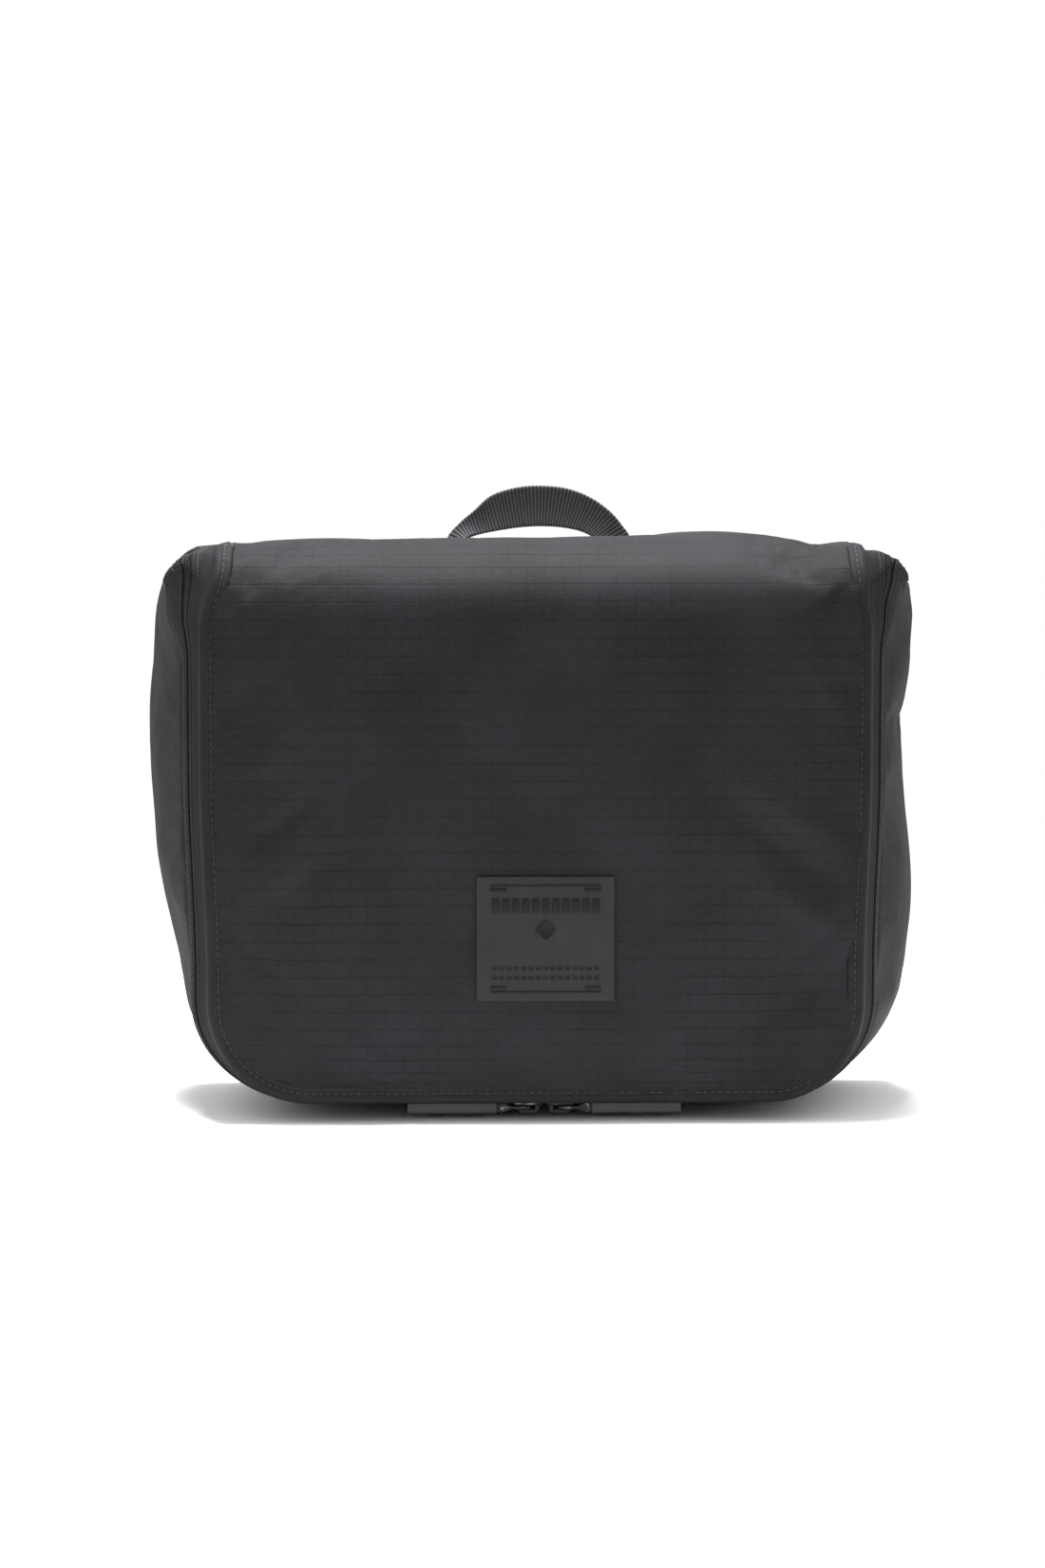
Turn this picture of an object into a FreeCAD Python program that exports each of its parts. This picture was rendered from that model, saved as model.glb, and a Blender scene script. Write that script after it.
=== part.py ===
"""Hanging toiletry bag, closed, standing on its base.

Frame: millimetres, +Z up, the front of the bag faces -Y, and the origin is at the middle of the base.
The bag is a U-shaped gusset with a back panel, closed by a cover that is one cloth over the top and the front.
A coil zip runs along both sides of the top, down the sides and across the bottom, and two sliders meet at the
middle of the bottom run. The cover turns up about the seam at the top of the back panel, and bends at the
front top edge, so that the open bag hangs from the hook inside the cover.
"""
import FreeCAD, Part
import math
import os
import Sketcher
from FreeCAD import Placement, Rotation, Vector

doc = FreeCAD.newDocument("toiletry_bag")
sheet = doc.addObject("Spreadsheet::Sheet", "Sizes")


class Length:
    """A size in millimetres that knows both its value and its spreadsheet expression."""

    def __init__(self, value, text):
        self.value = value
        self.text = text

    def __add__(self, other):
        other = length(other)
        return Length(self.value + other.value, f"({self.text} + {other.text})")

    def __sub__(self, other):
        other = length(other)
        return Length(self.value - other.value, f"({self.text} - {other.text})")

    def __mul__(self, factor):
        return Length(self.value * factor, f"({self.text} * {factor})")

    def __neg__(self):
        return Length(-self.value, f"(0 - {self.text})")

    def __radd__(self, other):
        return length(other) + self

    def __rsub__(self, other):
        return length(other) - self


def length(number):
    return number if isinstance(number, Length) else Length(float(number), f"({float(number)})")


def size(alias, value):
    """Puts one driving dimension in the spreadsheet and returns it as a Length."""
    row = size.rows = size.rows + 1
    sheet.set(f"A{row}", alias)
    sheet.set(f"B{row}", str(value))
    sheet.setAlias(f"B{row}", alias)
    return Length(float(value), f"Sizes.{alias}")


size.rows = 0

# Outline of the bag, square to Y. Each station has a half width, the height of its bottom and a corner
# radius.
seam_half = size("seam_half_width", 114)
coil_half = size("coil_half_width", 121)
rear_half = size("rear_tape_half_width", 128)
mid_half = size("middle_half_width", 133.5)
back_half = size("back_half_width", 128)
seam_bottom = size("seam_bottom", 7.2)
coil_bottom = size("coil_bottom", 6.4)
rear_bottom = size("rear_tape_bottom", 5.6)
back_bottom = size("back_bottom", 2)
corner = size("lower_corner_radius", 40)
corner_step = size("corner_radius_step", 3)
# Depth stations along Y.
front_y = size("front_face_y", -48)
seam_y = size("front_seam_y", -46.5)
coil_y = size("coil_y", -38)
rear_y = size("rear_tape_y", -29)
floor_y = size("floor_start_y", -15)
mid_y = size("middle_y", 15)
gusset_back_y = size("gusset_back_y", 44)
back_y = size("back_face_y", 47.5)
# Heights at the top.
top_z = size("top_z", 198)
fold = size("front_fold_radius", 16)
coil_depth = size("coil_depth", 10)
rear_depth = size("rear_tape_depth", 19)
seam_depth = size("seam_depth", 1.5)
# Cloth.
panel = size("panel_thickness", 2)
tape = size("tape_thickness", 1)
cloth = size("gusset_thickness", 1.2)
lining = size("lining_thickness", 0.6)
air = size("cloth_gap", 0.3)
edge_gap = size("panel_edge_gap", 1.1)
chain_gap = size("half_chain_gap", 0.8)
coil_wide = size("coil_width", 1.8)
coil_thick = size("coil_thickness", 1.5)
# Main sliders and pulls.
slider_centre = size("slider_centre_x", 5.4)
slider_long = size("slider_length", 9.6)
slider_wide = size("slider_width", 7.6)
plate = size("slider_plate", 1.1)
plate_clear = size("plate_clearance", 0.55)
inner_plate_depth = size("inner_plate_depth", 5.1)
pull_height = size("pull_axis_height", 2.6)
rivet_x = size("rivet_distance", 9.3)
bar_start = size("bar_start", 11.1)
bar_long = size("bar_length", 31)
bar_half = size("bar_half_thickness", 2.05)
bar_bevel = size("bar_bevel", 0.6)
rivet_radius = size("rivet_radius", 0.7)
# Handle, patch and hook.
handle_half = size("handle_half_span", 30)
handle_inner_half = size("handle_inner_half_span", 22)
handle_foot = size("handle_foot_z", 190)
handle_top = size("handle_top_z", 217)
handle_under = size("handle_underside_z", 201.6)
webbing = size("webbing_thickness", 1.8)
handle_y = size("handle_front_y", 48.2)
patch_wide = size("patch_width", 47.4)
patch_high = size("patch_height", 42.7)
patch_z = size("patch_centre_z", 64.5)
patch_thick = size("patch_thickness", 1.6)
hook_y = size("hook_y", -36)
hook_z = size("hook_pivot_z", 27)
hook_bend = size("hook_bend_radius", 15)
hook_wire = size("hook_wire_radius", 2.2)

fold_centre_y = front_y + fold
fold_centre_z = top_z - fold
HALF_FOLD = 45
SEAM_STEP = 0.82  # how far the zip band widens for each millimetre of its depth
bodies = {}


def body(label):
    """An empty PartDesign body, which becomes one named piece of the bag."""
    made = doc.addObject("PartDesign::Body", label)
    made.Label = label
    made.AllowCompound = True
    bodies[label] = made
    return made


def sketch(owner, plane, offset=(0, 0, 0)):
    """A sketch on one of the body's own origin planes, moved by offset in the plane's own directions."""
    made = owner.newObject("Sketcher::SketchObject", f"{owner.Name}_sketch")
    origin_plane = next(f for f in owner.Origin.OriginFeatures if f.Role == plane)
    made.AttachmentSupport = [(origin_plane, "")]
    made.MapMode = "FlatFace"
    offset = [length(part) for part in offset]
    made.AttachmentOffset = Placement(Vector(*[part.value for part in offset]), Rotation())
    for letter, part in zip("xyz", offset):
        made.setExpression(f"AttachmentOffset.Base.{letter}", part.text)
    return made


def bind(owner, constraint, where):
    """Adds a dimension and ties it to the spreadsheet."""
    index = owner.addConstraint(Sketcher.Constraint(*constraint, where.value))
    owner.setExpression(f"Constraints[{index}]", where.text)


def polygon(owner, points):
    """Adds a closed outline of straight edges to a sketch, with every corner dimensioned from its origin."""
    points = [(length(across), length(up)) for across, up in points]
    first = owner.GeometryCount
    count = len(points)
    for i in range(count):
        ends = [Vector(p[0].value, p[1].value, 0) for p in (points[i], points[(i + 1) % count])]
        owner.addGeometry(Part.LineSegment(*ends), False)
    for i in range(count):
        owner.addConstraint(Sketcher.Constraint("Coincident", first + i, 2, first + (i + 1) % count, 1))
        bind(owner, ("DistanceX", -1, 1, first + i, 1), points[i][0])
        bind(owner, ("DistanceY", -1, 1, first + i, 1), points[i][1])


def polygon_pair(owner, points):
    """The same outline on both sides of the bag's middle plane."""
    polygon(owner, points)
    polygon(owner, [(-length(across), up) for across, up in points])


def rectangle(owner, half, low, high):
    polygon(owner, [(-half, low), (half, low), (half, high), (-half, high)])


def circle(owner, radius, across=0, up=0):
    across, up = length(across), length(up)
    middle = Vector(across.value, up.value, 0)
    at = owner.addGeometry(Part.Circle(middle, Vector(0, 0, 1), radius.value), False)
    bind(owner, ("Radius", at), radius)
    bind(owner, ("DistanceX", -1, 1, at, 3), across)
    bind(owner, ("DistanceY", -1, 1, at, 3), up)


def u_outline(owner, half, bottom, radius, top, shoulder=None):
    """A closed outline with rounded lower corners. shoulder is (half width, height) of cut upper corners."""
    half, bottom, radius, top = (length(part) for part in (half, bottom, radius, top))
    side_top = shoulder[1] if shoulder else top
    right, low, bend = half.value, bottom.value, radius.value
    centre = low + bend
    turn = math.pi / 2
    up = Vector(0, 0, 1)
    left_arc = Part.Circle(Vector(bend - right, centre, 0), up, bend)
    right_arc = Part.Circle(Vector(right - bend, centre, 0), up, bend)
    outline = [
        Part.LineSegment(Vector(-right, side_top.value, 0), Vector(-right, centre, 0)),
        Part.ArcOfCircle(left_arc, 2 * turn, 3 * turn),
        Part.LineSegment(Vector(bend - right, low, 0), Vector(right - bend, low, 0)),
        Part.ArcOfCircle(right_arc, 3 * turn, 4 * turn),
        Part.LineSegment(Vector(right, centre, 0), Vector(right, side_top.value, 0)),
    ]
    corners = [Vector(right, side_top.value, 0), Vector(-right, side_top.value, 0)]
    if shoulder:
        corners[1:1] = [Vector(shoulder[0].value, top.value, 0), Vector(-shoulder[0].value, top.value, 0)]
    outline += [Part.LineSegment(a, b) for a, b in zip(corners, corners[1:])]
    for edge in outline:
        owner.addGeometry(edge, False)
    for i in range(4):
        owner.addConstraint(Sketcher.Constraint("Tangent", i, 2, i + 1, 1))
    for i in range(4, len(outline)):
        owner.addConstraint(Sketcher.Constraint("Coincident", i, 2, (i + 1) % len(outline), 1))
    for word, edge in (("Vertical", 0), ("Vertical", 4), ("Horizontal", 2)):
        owner.addConstraint(Sketcher.Constraint(word, edge))
    owner.addConstraint(Sketcher.Constraint("Equal", 1, 3))
    owner.addConstraint(Sketcher.Constraint("Symmetric", 0, 1, 4, 2, -2))
    bind(owner, ("Radius", 1), radius)
    bind(owner, ("DistanceX", -1, 1, 4, 2), half)
    bind(owner, ("DistanceY", -1, 1, 4, 2), length(side_top))
    bind(owner, ("DistanceY", -1, 1, 2, 1), bottom)
    if shoulder:
        owner.addConstraint(Sketcher.Constraint("Symmetric", 5, 2, 6, 2, -2))
        bind(owner, ("DistanceX", -1, 1, 5, 2), shoulder[0])
        bind(owner, ("DistanceY", -1, 1, 5, 2), top)
    return owner


def station(owner, y, half, bottom, radius, top, shoulder=None):
    """A U outline at one depth of the bag."""
    return u_outline(sketch(owner, "XZ_Plane", (0, 0, -length(y))), half, bottom, radius, top, shoulder)


def feature(owner, kind, profile):
    made = owner.newObject(f"PartDesign::{kind}", f"{owner.Name}_{kind}")
    made.Profile = profile
    return made


def loft(owner, sections, cut=False):
    """Joins outlines by straight walls, or cuts the same shape away."""
    made = feature(owner, "SubtractiveLoft" if cut else "AdditiveLoft", sections[0])
    made.Sections = sections[1:]
    made.Ruled = True
    return made


def pad(owner, profile, thickness, reverse=False, middle=False):
    made = feature(owner, "Pad", profile)
    made.Length = thickness.value
    made.setExpression("Length", thickness.text)
    made.Reversed = reverse
    made.Midplane = middle
    return made


def pocket_through(owner, profile):
    made = feature(owner, "Pocket", profile)
    made.Type = 1
    made.Midplane = True
    return made


def revolve(owner, profile, angle, reverse=False):
    """Turns a profile about its own horizontal axis."""
    made = feature(owner, "Revolution", profile)
    made.ReferenceAxis = (profile, ["H_Axis"])
    made.Angle = angle
    made.Reversed = reverse
    return made


def band(y):
    """Half width, bottom and corner radius of the zip band's outer face at a depth between its seams."""
    on_cover = y.value <= coil_y.value
    near, far = (seam_y, coil_y) if on_cover else (coil_y, rear_y)
    share = (y.value - near.value) / (far.value - near.value)
    halves = (seam_half, coil_half) if on_cover else (coil_half, rear_half)
    bottoms = (seam_bottom, coil_bottom) if on_cover else (coil_bottom, rear_bottom)
    steps = (0, 1) if on_cover else (1, 2)
    half = halves[0] + (halves[1] - halves[0]) * share
    bottom = bottoms[0] + (bottoms[1] - bottoms[0]) * share
    return half, bottom, corner + corner_step * (steps[0] + share)


def u_band(owner, near, far, inset, thick, top):
    """A U-shaped strip of the zip band between two depths, lying inset under its outer face."""
    for cut, depth in ((False, inset), (True, inset + thick)):
        rise = top + 1 if cut else top
        walls = []
        for y in (near, far):
            half, bottom, radius = band(y)
            walls.append(station(owner, y, half - depth, bottom + depth, radius - depth, rise))
        loft(owner, walls, cut)


def slant(start, end, inset, thick):
    """Corners of a strip's cross-section beside the top edge: (distance from the middle, height)."""
    across = (end[0].value - start[0].value, end[1].value - start[1].value)
    run = math.hypot(*across)
    normal = (across[1] / run, -across[0] / run)
    rows = []
    for depth in (inset, inset + thick):
        rows.append([(p[0] + depth * normal[0], p[1] + depth * normal[1]) for p in (start, end)])
    return rows[0] + rows[1][::-1]


def top_section(near_depth, far_depth, inset, thick):
    """Section of a zip strip over the top: depths from the bag's outer face, and heights from 0."""
    ends = []
    for depth in (near_depth, far_depth):
        ends.append((seam_half + (depth - seam_depth) * SEAM_STEP, -depth))
    return slant(ends[0], ends[1], inset, thick)


def raised(points, height):
    return [(across, up + height) for across, up in points]


# ---- cover: outer cloth over the top and the front, one piece to each side of the fold ----
panel_edge = seam_half - edge_gap
lower_inset = size("front_crown_inset", 7)
crown = size("front_crown", 3)
cover_back_y = back_y - air

cover_top_panel = body("cover_top_panel")
top_cloth = sketch(cover_top_panel, "XZ_Plane", (0, fold_centre_z, -fold_centre_y))
rectangle(top_cloth, panel_edge, fold - panel, fold)
pad(cover_top_panel, top_cloth, cover_back_y - fold_centre_y, reverse=True)
top_bend = sketch(cover_top_panel, "XZ_Plane", (0, fold_centre_z, -fold_centre_y))
rectangle(top_bend, panel_edge, fold - panel, fold)
revolve(cover_top_panel, top_bend, HALF_FOLD)

cover_front_panel = body("cover_front_panel")
front_back_y = front_y + crown + 1
loft(cover_front_panel, [
    station(cover_front_panel, front_back_y, panel_edge, seam_bottom + edge_gap, corner, fold_centre_z),
    station(cover_front_panel, front_y + 1, panel_edge - 2, seam_bottom + 2, corner - 2, fold_centre_z),
    station(cover_front_panel, front_y, panel_edge - lower_inset, seam_bottom + lower_inset,
            corner - lower_inset, fold_centre_z),
])
loft(cover_front_panel, [
    station(cover_front_panel, front_back_y, panel_edge - 1, seam_bottom + 1 + edge_gap, corner - 1,
            fold_centre_z - panel),
    station(cover_front_panel, front_y + 1, panel_edge - lower_inset - 1, seam_bottom + lower_inset + 1,
            corner - lower_inset - 1, fold_centre_z - panel),
], cut=True)
front_bend = sketch(cover_front_panel, "XY_Plane", (0, fold_centre_y, fold_centre_z))
rectangle(front_bend, panel_edge, -fold, panel - fold)
revolve(cover_front_panel, front_bend, HALF_FOLD, reverse=True)

foam_gap = size("foam_gap", 0.1)
cover_foam = body("cover_foam")
loft(cover_foam, [
    station(cover_foam, front_back_y - foam_gap, panel_edge - 2, seam_bottom + edge_gap + 2, corner - 2,
            fold_centre_z - panel - 1),
    station(cover_foam, front_y + 1 + foam_gap, panel_edge - lower_inset - 2,
            seam_bottom + lower_inset + edge_gap + 2, corner - lower_inset - 2, fold_centre_z - panel - 1),
])

cover_lining = body("cover_lining")
cover_lining_y = front_back_y + foam_gap
pad(cover_lining, station(cover_lining, cover_lining_y, panel_edge - 1.2, seam_bottom + 1.5, corner - 1.5,
                          fold_centre_z), lining, reverse=True)

cover_top_lining = body("cover_top_lining")
top_lining = sketch(cover_top_lining, "XZ_Plane", (0, 0, -(fold_centre_y + 4)))
rectangle(top_lining, panel_edge - 3, top_z - panel - foam_gap - lining, top_z - panel - foam_gap)
pad(cover_top_lining, top_lining, cover_back_y - fold_centre_y - 8, reverse=True)

# ---- zip tape and coil on the cover ----
cover_edge_y = coil_y - chain_gap
cover_front_tape = body("cover_front_zip_tape")
u_band(cover_front_tape, seam_y, cover_edge_y, length(0), tape, fold_centre_z)
cover_section = top_section(seam_depth, coil_depth - chain_gap, 0, tape.value)
corner_tape = sketch(cover_front_tape, "XY_Plane", (0, fold_centre_y, fold_centre_z))
polygon_pair(corner_tape, [(across, -up - fold) for across, up in cover_section])
revolve(cover_front_tape, corner_tape, HALF_FOLD, reverse=True)

zip_end_y = size("zip_end_y", 42)
cover_top_tape = body("cover_top_zip_tape")
for run in ("straight", "bend"):
    profile = sketch(cover_top_tape, "XZ_Plane", (0, fold_centre_z, -fold_centre_y))
    polygon_pair(profile, raised(cover_section, fold))
    if run == "straight":
        pad(cover_top_tape, profile, zip_end_y - fold_centre_y, reverse=True)
    else:
        revolve(cover_top_tape, profile, HALF_FOLD)

cover_front_coil = body("cover_front_zip_coil")
u_band(cover_front_coil, cover_edge_y - coil_wide, cover_edge_y, tape + foam_gap, coil_thick, fold_centre_z)

cover_top_coil = body("cover_top_zip_coil")
coil_profile = sketch(cover_top_coil, "XZ_Plane", (0, top_z, -fold_centre_y))
polygon_pair(coil_profile, top_section(coil_depth - chain_gap - coil_wide, coil_depth - chain_gap,
                                       tape.value + foam_gap.value, coil_thick.value))
pad(cover_top_coil, coil_profile, zip_end_y - fold_centre_y, reverse=True)

# ---- body: gusset, back panel, tape, coil and lining ----
rear_top = top_z - rear_depth
body_edge_y = coil_y + chain_gap
press = size("base_press", 0.3)
gusset_corners = [corner + corner_step * n for n in (2, 3, 4, 2)]
gusset_rows = list(zip((rear_y, floor_y, mid_y, gusset_back_y),
                       (rear_half, rear_half + 2, mid_half, back_half),
                       (rear_bottom, -press, -press, back_bottom), gusset_corners))
gusset = body("body_gusset")
loft(gusset, [station(gusset, y, half, low, bend, rear_top) for y, half, low, bend in gusset_rows])
loft(gusset, [station(gusset, y, half - cloth, low + cloth, bend - cloth, rear_top + 1)
              for y, half, low, bend in gusset_rows], cut=True)
base_plane = sketch(gusset, "XY_Plane")
rectangle(base_plane, mid_half, rear_y, gusset_back_y)
feature(gusset, "Pocket", base_plane).Type = 1

shoulder = (seam_half, rear_top)
back_top = top_z - panel - 0.5
back_panel = body("back_panel")
loft(back_panel, [
    station(back_panel, gusset_back_y + foam_gap, back_half, back_bottom, gusset_corners[3], back_top,
            shoulder),
    station(back_panel, back_y - 1, back_half - 1, back_bottom + 1, gusset_corners[3] - 1, back_top,
            (seam_half - 1, rear_top)),
    station(back_panel, back_y, back_half - 5, back_bottom + 5, gusset_corners[3] - 5, back_top,
            (seam_half - 5, rear_top)),
])

tape_top = top_z - coil_depth
body_side_tape = body("body_side_tape")
u_band(body_side_tape, body_edge_y, rear_y, length(0), tape, tape_top)
body_top_tape = body("body_top_tape")
strip = sketch(body_top_tape, "XZ_Plane", (0, top_z, -body_edge_y))
polygon_pair(strip, top_section(coil_depth + chain_gap, rear_depth - 0.8, 0, tape.value))
pad(body_top_tape, strip, zip_end_y - body_edge_y, reverse=True)
mitre_sum = tape_top + coil_y
mitre_ends = (body_edge_y - 2, rear_y + 2)
for strip_body, beyond in ((body_side_tape, tape_top + 4), (body_top_tape, rear_top - 8)):
    mitre = sketch(strip_body, "YZ_Plane")
    low, high = mitre_ends
    polygon(mitre, [(low, mitre_sum - low), (high, mitre_sum - high), (high, beyond), (low, beyond)])
    pocket_through(strip_body, mitre)
body_tape = doc.addObject("Part::MultiFuse", "body_zip_tape")
body_tape.Shapes = [body_side_tape, body_top_tape]
body_tape.Label = "body_zip_tape"

body_coil = body("body_zip_coil")
u_band(body_coil, body_edge_y, body_edge_y + coil_wide, tape + foam_gap, coil_thick, tape_top - 3)
body_coil_strip = sketch(body_coil, "XZ_Plane", (0, top_z, -rear_y))
polygon_pair(body_coil_strip, top_section(coil_depth + chain_gap, coil_depth + chain_gap + coil_wide,
                                          tape.value + foam_gap.value, coil_thick.value))
pad(body_coil, body_coil_strip, zip_end_y - rear_y, reverse=True)

lining_inset = cloth + air
tub = body("body_lining")
tub_depths = (rear_y + 1, floor_y, mid_y, gusset_back_y - air)
tub_rows = [(y,) + row[1:] for y, row in zip(tub_depths, gusset_rows)]
loft(tub, [station(tub, y, half - lining_inset, low + lining_inset, bend - lining_inset, rear_top - 1)
           for y, half, low, bend in tub_rows])
tub_rows[-1] = (gusset_back_y - air - lining,) + tub_rows[-1][1:]
inner_inset = lining_inset + lining
loft(tub, [station(tub, y, half - inner_inset, low + inner_inset, bend - inner_inset, rear_top)
           for y, half, low, bend in tub_rows], cut=True)

pocket_half = size("pocket_half_width", 100)
pocket_low = size("pocket_bottom", 16)
pocket_high = size("pocket_top", 104)
mesh_thick = size("mesh_thickness", 1)
inner_wall_y = gusset_back_y - air - lining
back_pocket = body("back_pocket_mesh")
pad(back_pocket, station(back_pocket, inner_wall_y - air - mesh_thick, pocket_half, pocket_low,
                         corner - 8, pocket_high), mesh_thick, reverse=True)


def strap(label, half, low, high, near_y, thick):
    """A flat strip lying against a wall of the bag."""
    made = body(label)
    outline = sketch(made, "XZ_Plane", (0, 0, -length(near_y)))
    rectangle(outline, length(half), length(low), length(high))
    pad(made, outline, length(thick), reverse=True)
    return made


hem_high = size("elastic_height", 10)
band_low = size("loop_band_bottom", 130)
band_high = size("loop_band_top", 152)
strap("back_pocket_elastic", pocket_half, pocket_high + 0.2, pocket_high + hem_high,
      inner_wall_y - air - mesh_thick - 0.5, mesh_thick + 0.5)
strap("elastic_loop_band", pocket_half - 8, band_low, band_high, inner_wall_y - air - 1.4, 1.4)
strap("hinge_seam_binding", panel_edge - 4, back_top - 10, back_top - 3, gusset_back_y - 1.9, 1.8)
zip_tabs = body("zip_end_tabs")
tab_outline = sketch(zip_tabs, "XZ_Plane", (0, top_z, -(zip_end_y + 0.2)))
polygon_pair(tab_outline, top_section(coil_depth + chain_gap, rear_depth - 1.6, 0, tape.value + 1))
pad(zip_tabs, tab_outline, gusset_back_y - zip_end_y - 0.4, reverse=True)

# ---- grab handle and its sewn feet ----
grab_handle = body("grab_handle")
arch = sketch(grab_handle, "XZ_Plane", (0, handle_foot, -handle_y))


def arch_radius(half, rise):
    """Radius of the arc that spans 2 x half and rises by rise."""
    return (half.value ** 2 + rise.value ** 2) / (2 * rise.value)


def arc_over(owner, half, rise, index):
    bend = arch_radius(half, rise)
    low = rise.value - bend
    start = math.atan2(-low, half.value)
    owner.addGeometry(Part.ArcOfCircle(Part.Circle(Vector(0, low, 0), Vector(0, 0, 1), bend),
                                       start, math.pi - start), False)
    owner.addConstraint(Sketcher.Constraint("PointOnObject", index, 1, -1))
    owner.addConstraint(Sketcher.Constraint("PointOnObject", index, 2, -1))
    bind(owner, ("DistanceX", -1, 1, index, 1), half)
    bind(owner, ("DistanceX", -1, 1, index, 2), -half)
    owner.addConstraint(Sketcher.Constraint("Radius", index, bend))


arc_over(arch, handle_half, handle_top - handle_foot, 0)
arc_over(arch, handle_inner_half, handle_under - handle_foot, 1)
for side in (1, 2):
    foot_edge = [arch.getPoint(0, side), arch.getPoint(1, side)]
    arch.addGeometry(Part.LineSegment(*foot_edge), False)
    arch.addConstraint(Sketcher.Constraint("Coincident", 0, side, side + 1, 1))
    arch.addConstraint(Sketcher.Constraint("Coincident", 1, side, side + 1, 2))
pad(grab_handle, arch, webbing, reverse=True)

handle_feet = body("handle_sewn_ends")
feet = sketch(handle_feet, "XZ_Plane", (0, 0, -(back_y + foam_gap)))
polygon_pair(feet, [(handle_inner_half, handle_foot - 16), (handle_half, handle_foot - 16),
                    (handle_half, handle_foot - 0.6), (handle_inner_half, handle_foot - 0.6)])
pad(handle_feet, feet, webbing, reverse=True)

# ---- rubber patch ----
patch = body("rubber_patch")
patch_outline = sketch(patch, "XZ_Plane", (0, patch_z, -(front_y - patch_thick)))
rectangle(patch_outline, patch_wide * 0.5, -(patch_high * 0.5), patch_high * 0.5)
pad(patch, patch_outline, patch_thick - 0.05, reverse=True)

# ---- mesh pocket inside the cover, with its own zip ----
cover_inner_y = cover_lining_y + lining
cover_pocket_low = size("cover_pocket_bottom", 18)
cover_pocket_high = size("cover_pocket_top", 150)
cover_pocket_half = size("cover_pocket_half_width", 98)
cover_mesh = body("cover_pocket_mesh")
pad(cover_mesh, station(cover_mesh, cover_inner_y + 0.1, cover_pocket_half, cover_pocket_low, corner - 10,
                        cover_pocket_high), mesh_thick, reverse=True)
strap("cover_pocket_zip_tape", cover_pocket_half, cover_pocket_high + 0.3, cover_pocket_high + 14,
      cover_inner_y + 0.1, 0.8)
pocket_zip_z = cover_pocket_high + 7
strap("cover_pocket_zip_coil", cover_pocket_half - 4, pocket_zip_z - 2, pocket_zip_z + 2,
      cover_inner_y + 1, 1.2)

pocket_slider_x = size("pocket_slider_x", 82)

# ---- main zip sliders, links, rivets and bars, modelled at the coil line and then set in place ----
band_tilt = math.degrees(math.atan2(seam_bottom.value - rear_bottom.value, rear_y.value - seam_y.value))


def along_chain(side):
    """Placement of a slider's frame: +X towards the bag's middle, +Z out of the band, on the coil line."""
    outwards = Rotation(Vector(1, 0, 0), 180 - band_tilt)
    if side == "right":
        outwards = outwards.multiply(Rotation(Vector(0, 0, 1), 180))
    across = slider_centre.value if side == "right" else -slider_centre.value
    return Placement(Vector(across, coil_y.value, coil_bottom.value), outwards)


def soften(owner, radius, choose):
    """Rounds the edges that choose picks from the solid made so far."""
    doc.recompute()
    base = owner.Tip
    chosen = [f"Edge{i}" for i, edge in enumerate(base.Shape.Edges, 1) if choose(edge)]
    made = owner.newObject("PartDesign::Fillet", f"{owner.Name}_Fillet")
    made.Base = (base, chosen)
    made.Radius = radius


def outer_plate(made):
    """A slider's rounded outer plate, standing clear of the coil line."""
    half_long, half_wide = slider_long * 0.5, slider_wide * 0.5
    nose = half_wide - 1.4
    plan = [(-half_long, -nose), (-half_long + 3, -half_wide), (half_long - 2, -half_wide),
            (half_long, -nose), (half_long, nose), (half_long - 2, half_wide), (-half_long + 3, half_wide),
            (-half_long, nose)]
    outline = sketch(made, "XY_Plane", (0, 0, plate_clear))
    polygon(outline, plan)
    pad(made, outline, plate)
    top = (plate_clear + plate).value
    soften(made, 0.45, lambda edge: edge.CenterOfMass.z > top - 0.01)
    return plan


def bail(made):
    """The arch on a slider that its pull turns in."""
    arch = sketch(made, "XZ_Plane")
    foot = plate_clear + plate - 0.2
    polygon(arch, [(-3.6, foot), (-2.3, foot), (-2.3, 3.3), (-2.1, 3.5), (2.1, 3.5), (2.3, 3.3), (2.3, foot),
                   (3.6, foot), (3.6, 3.7), (2.7, 4.6), (-2.7, 4.6), (-3.6, 3.7)])
    pad(made, arch, length(1.3), middle=True)
    soften(made, 0.3, lambda edge: edge.CenterOfMass.z > 3.55 and abs(abs(edge.CenterOfMass.y) - 0.65) < 0.01)


def slider_body(side):
    """Two plates joined by a thin post that runs between the tapes, with a bail on the outer plate."""
    made = body(f"zip_slider_{side}")
    plan = outer_plate(made)
    inner = sketch(made, "XY_Plane", (0, 0, -inner_plate_depth))
    polygon(inner, plan)
    pad(made, inner, plate)
    post = sketch(made, "XY_Plane", (0, 0, -inner_plate_depth))
    polygon(post, [(2.6, -0.45), (4.4, -0.45), (4.4, 0.45), (2.6, 0.45)])
    pad(made, post, inner_plate_depth + plate_clear + 0.5)
    bail(made)
    made.Placement = along_chain(side)


def link_eye(made):
    """A flat hoop that runs round a bail's leg, with its turning end under the arch."""
    eye = sketch(made, "XY_Plane", (0, 0, pull_height - 0.6))
    polygon(eye, [(0.5, -1.7), (0.5, 1.7), (0, 2.1), (-7.2, 1.9), (-7.2, -1.9), (0, -2.1)])
    polygon(eye, [(-0.5, -1.1), (-0.5, 1.1), (-5.2, 1.1), (-5.2, -1.1)])
    pad(made, eye, length(1.2))


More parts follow.
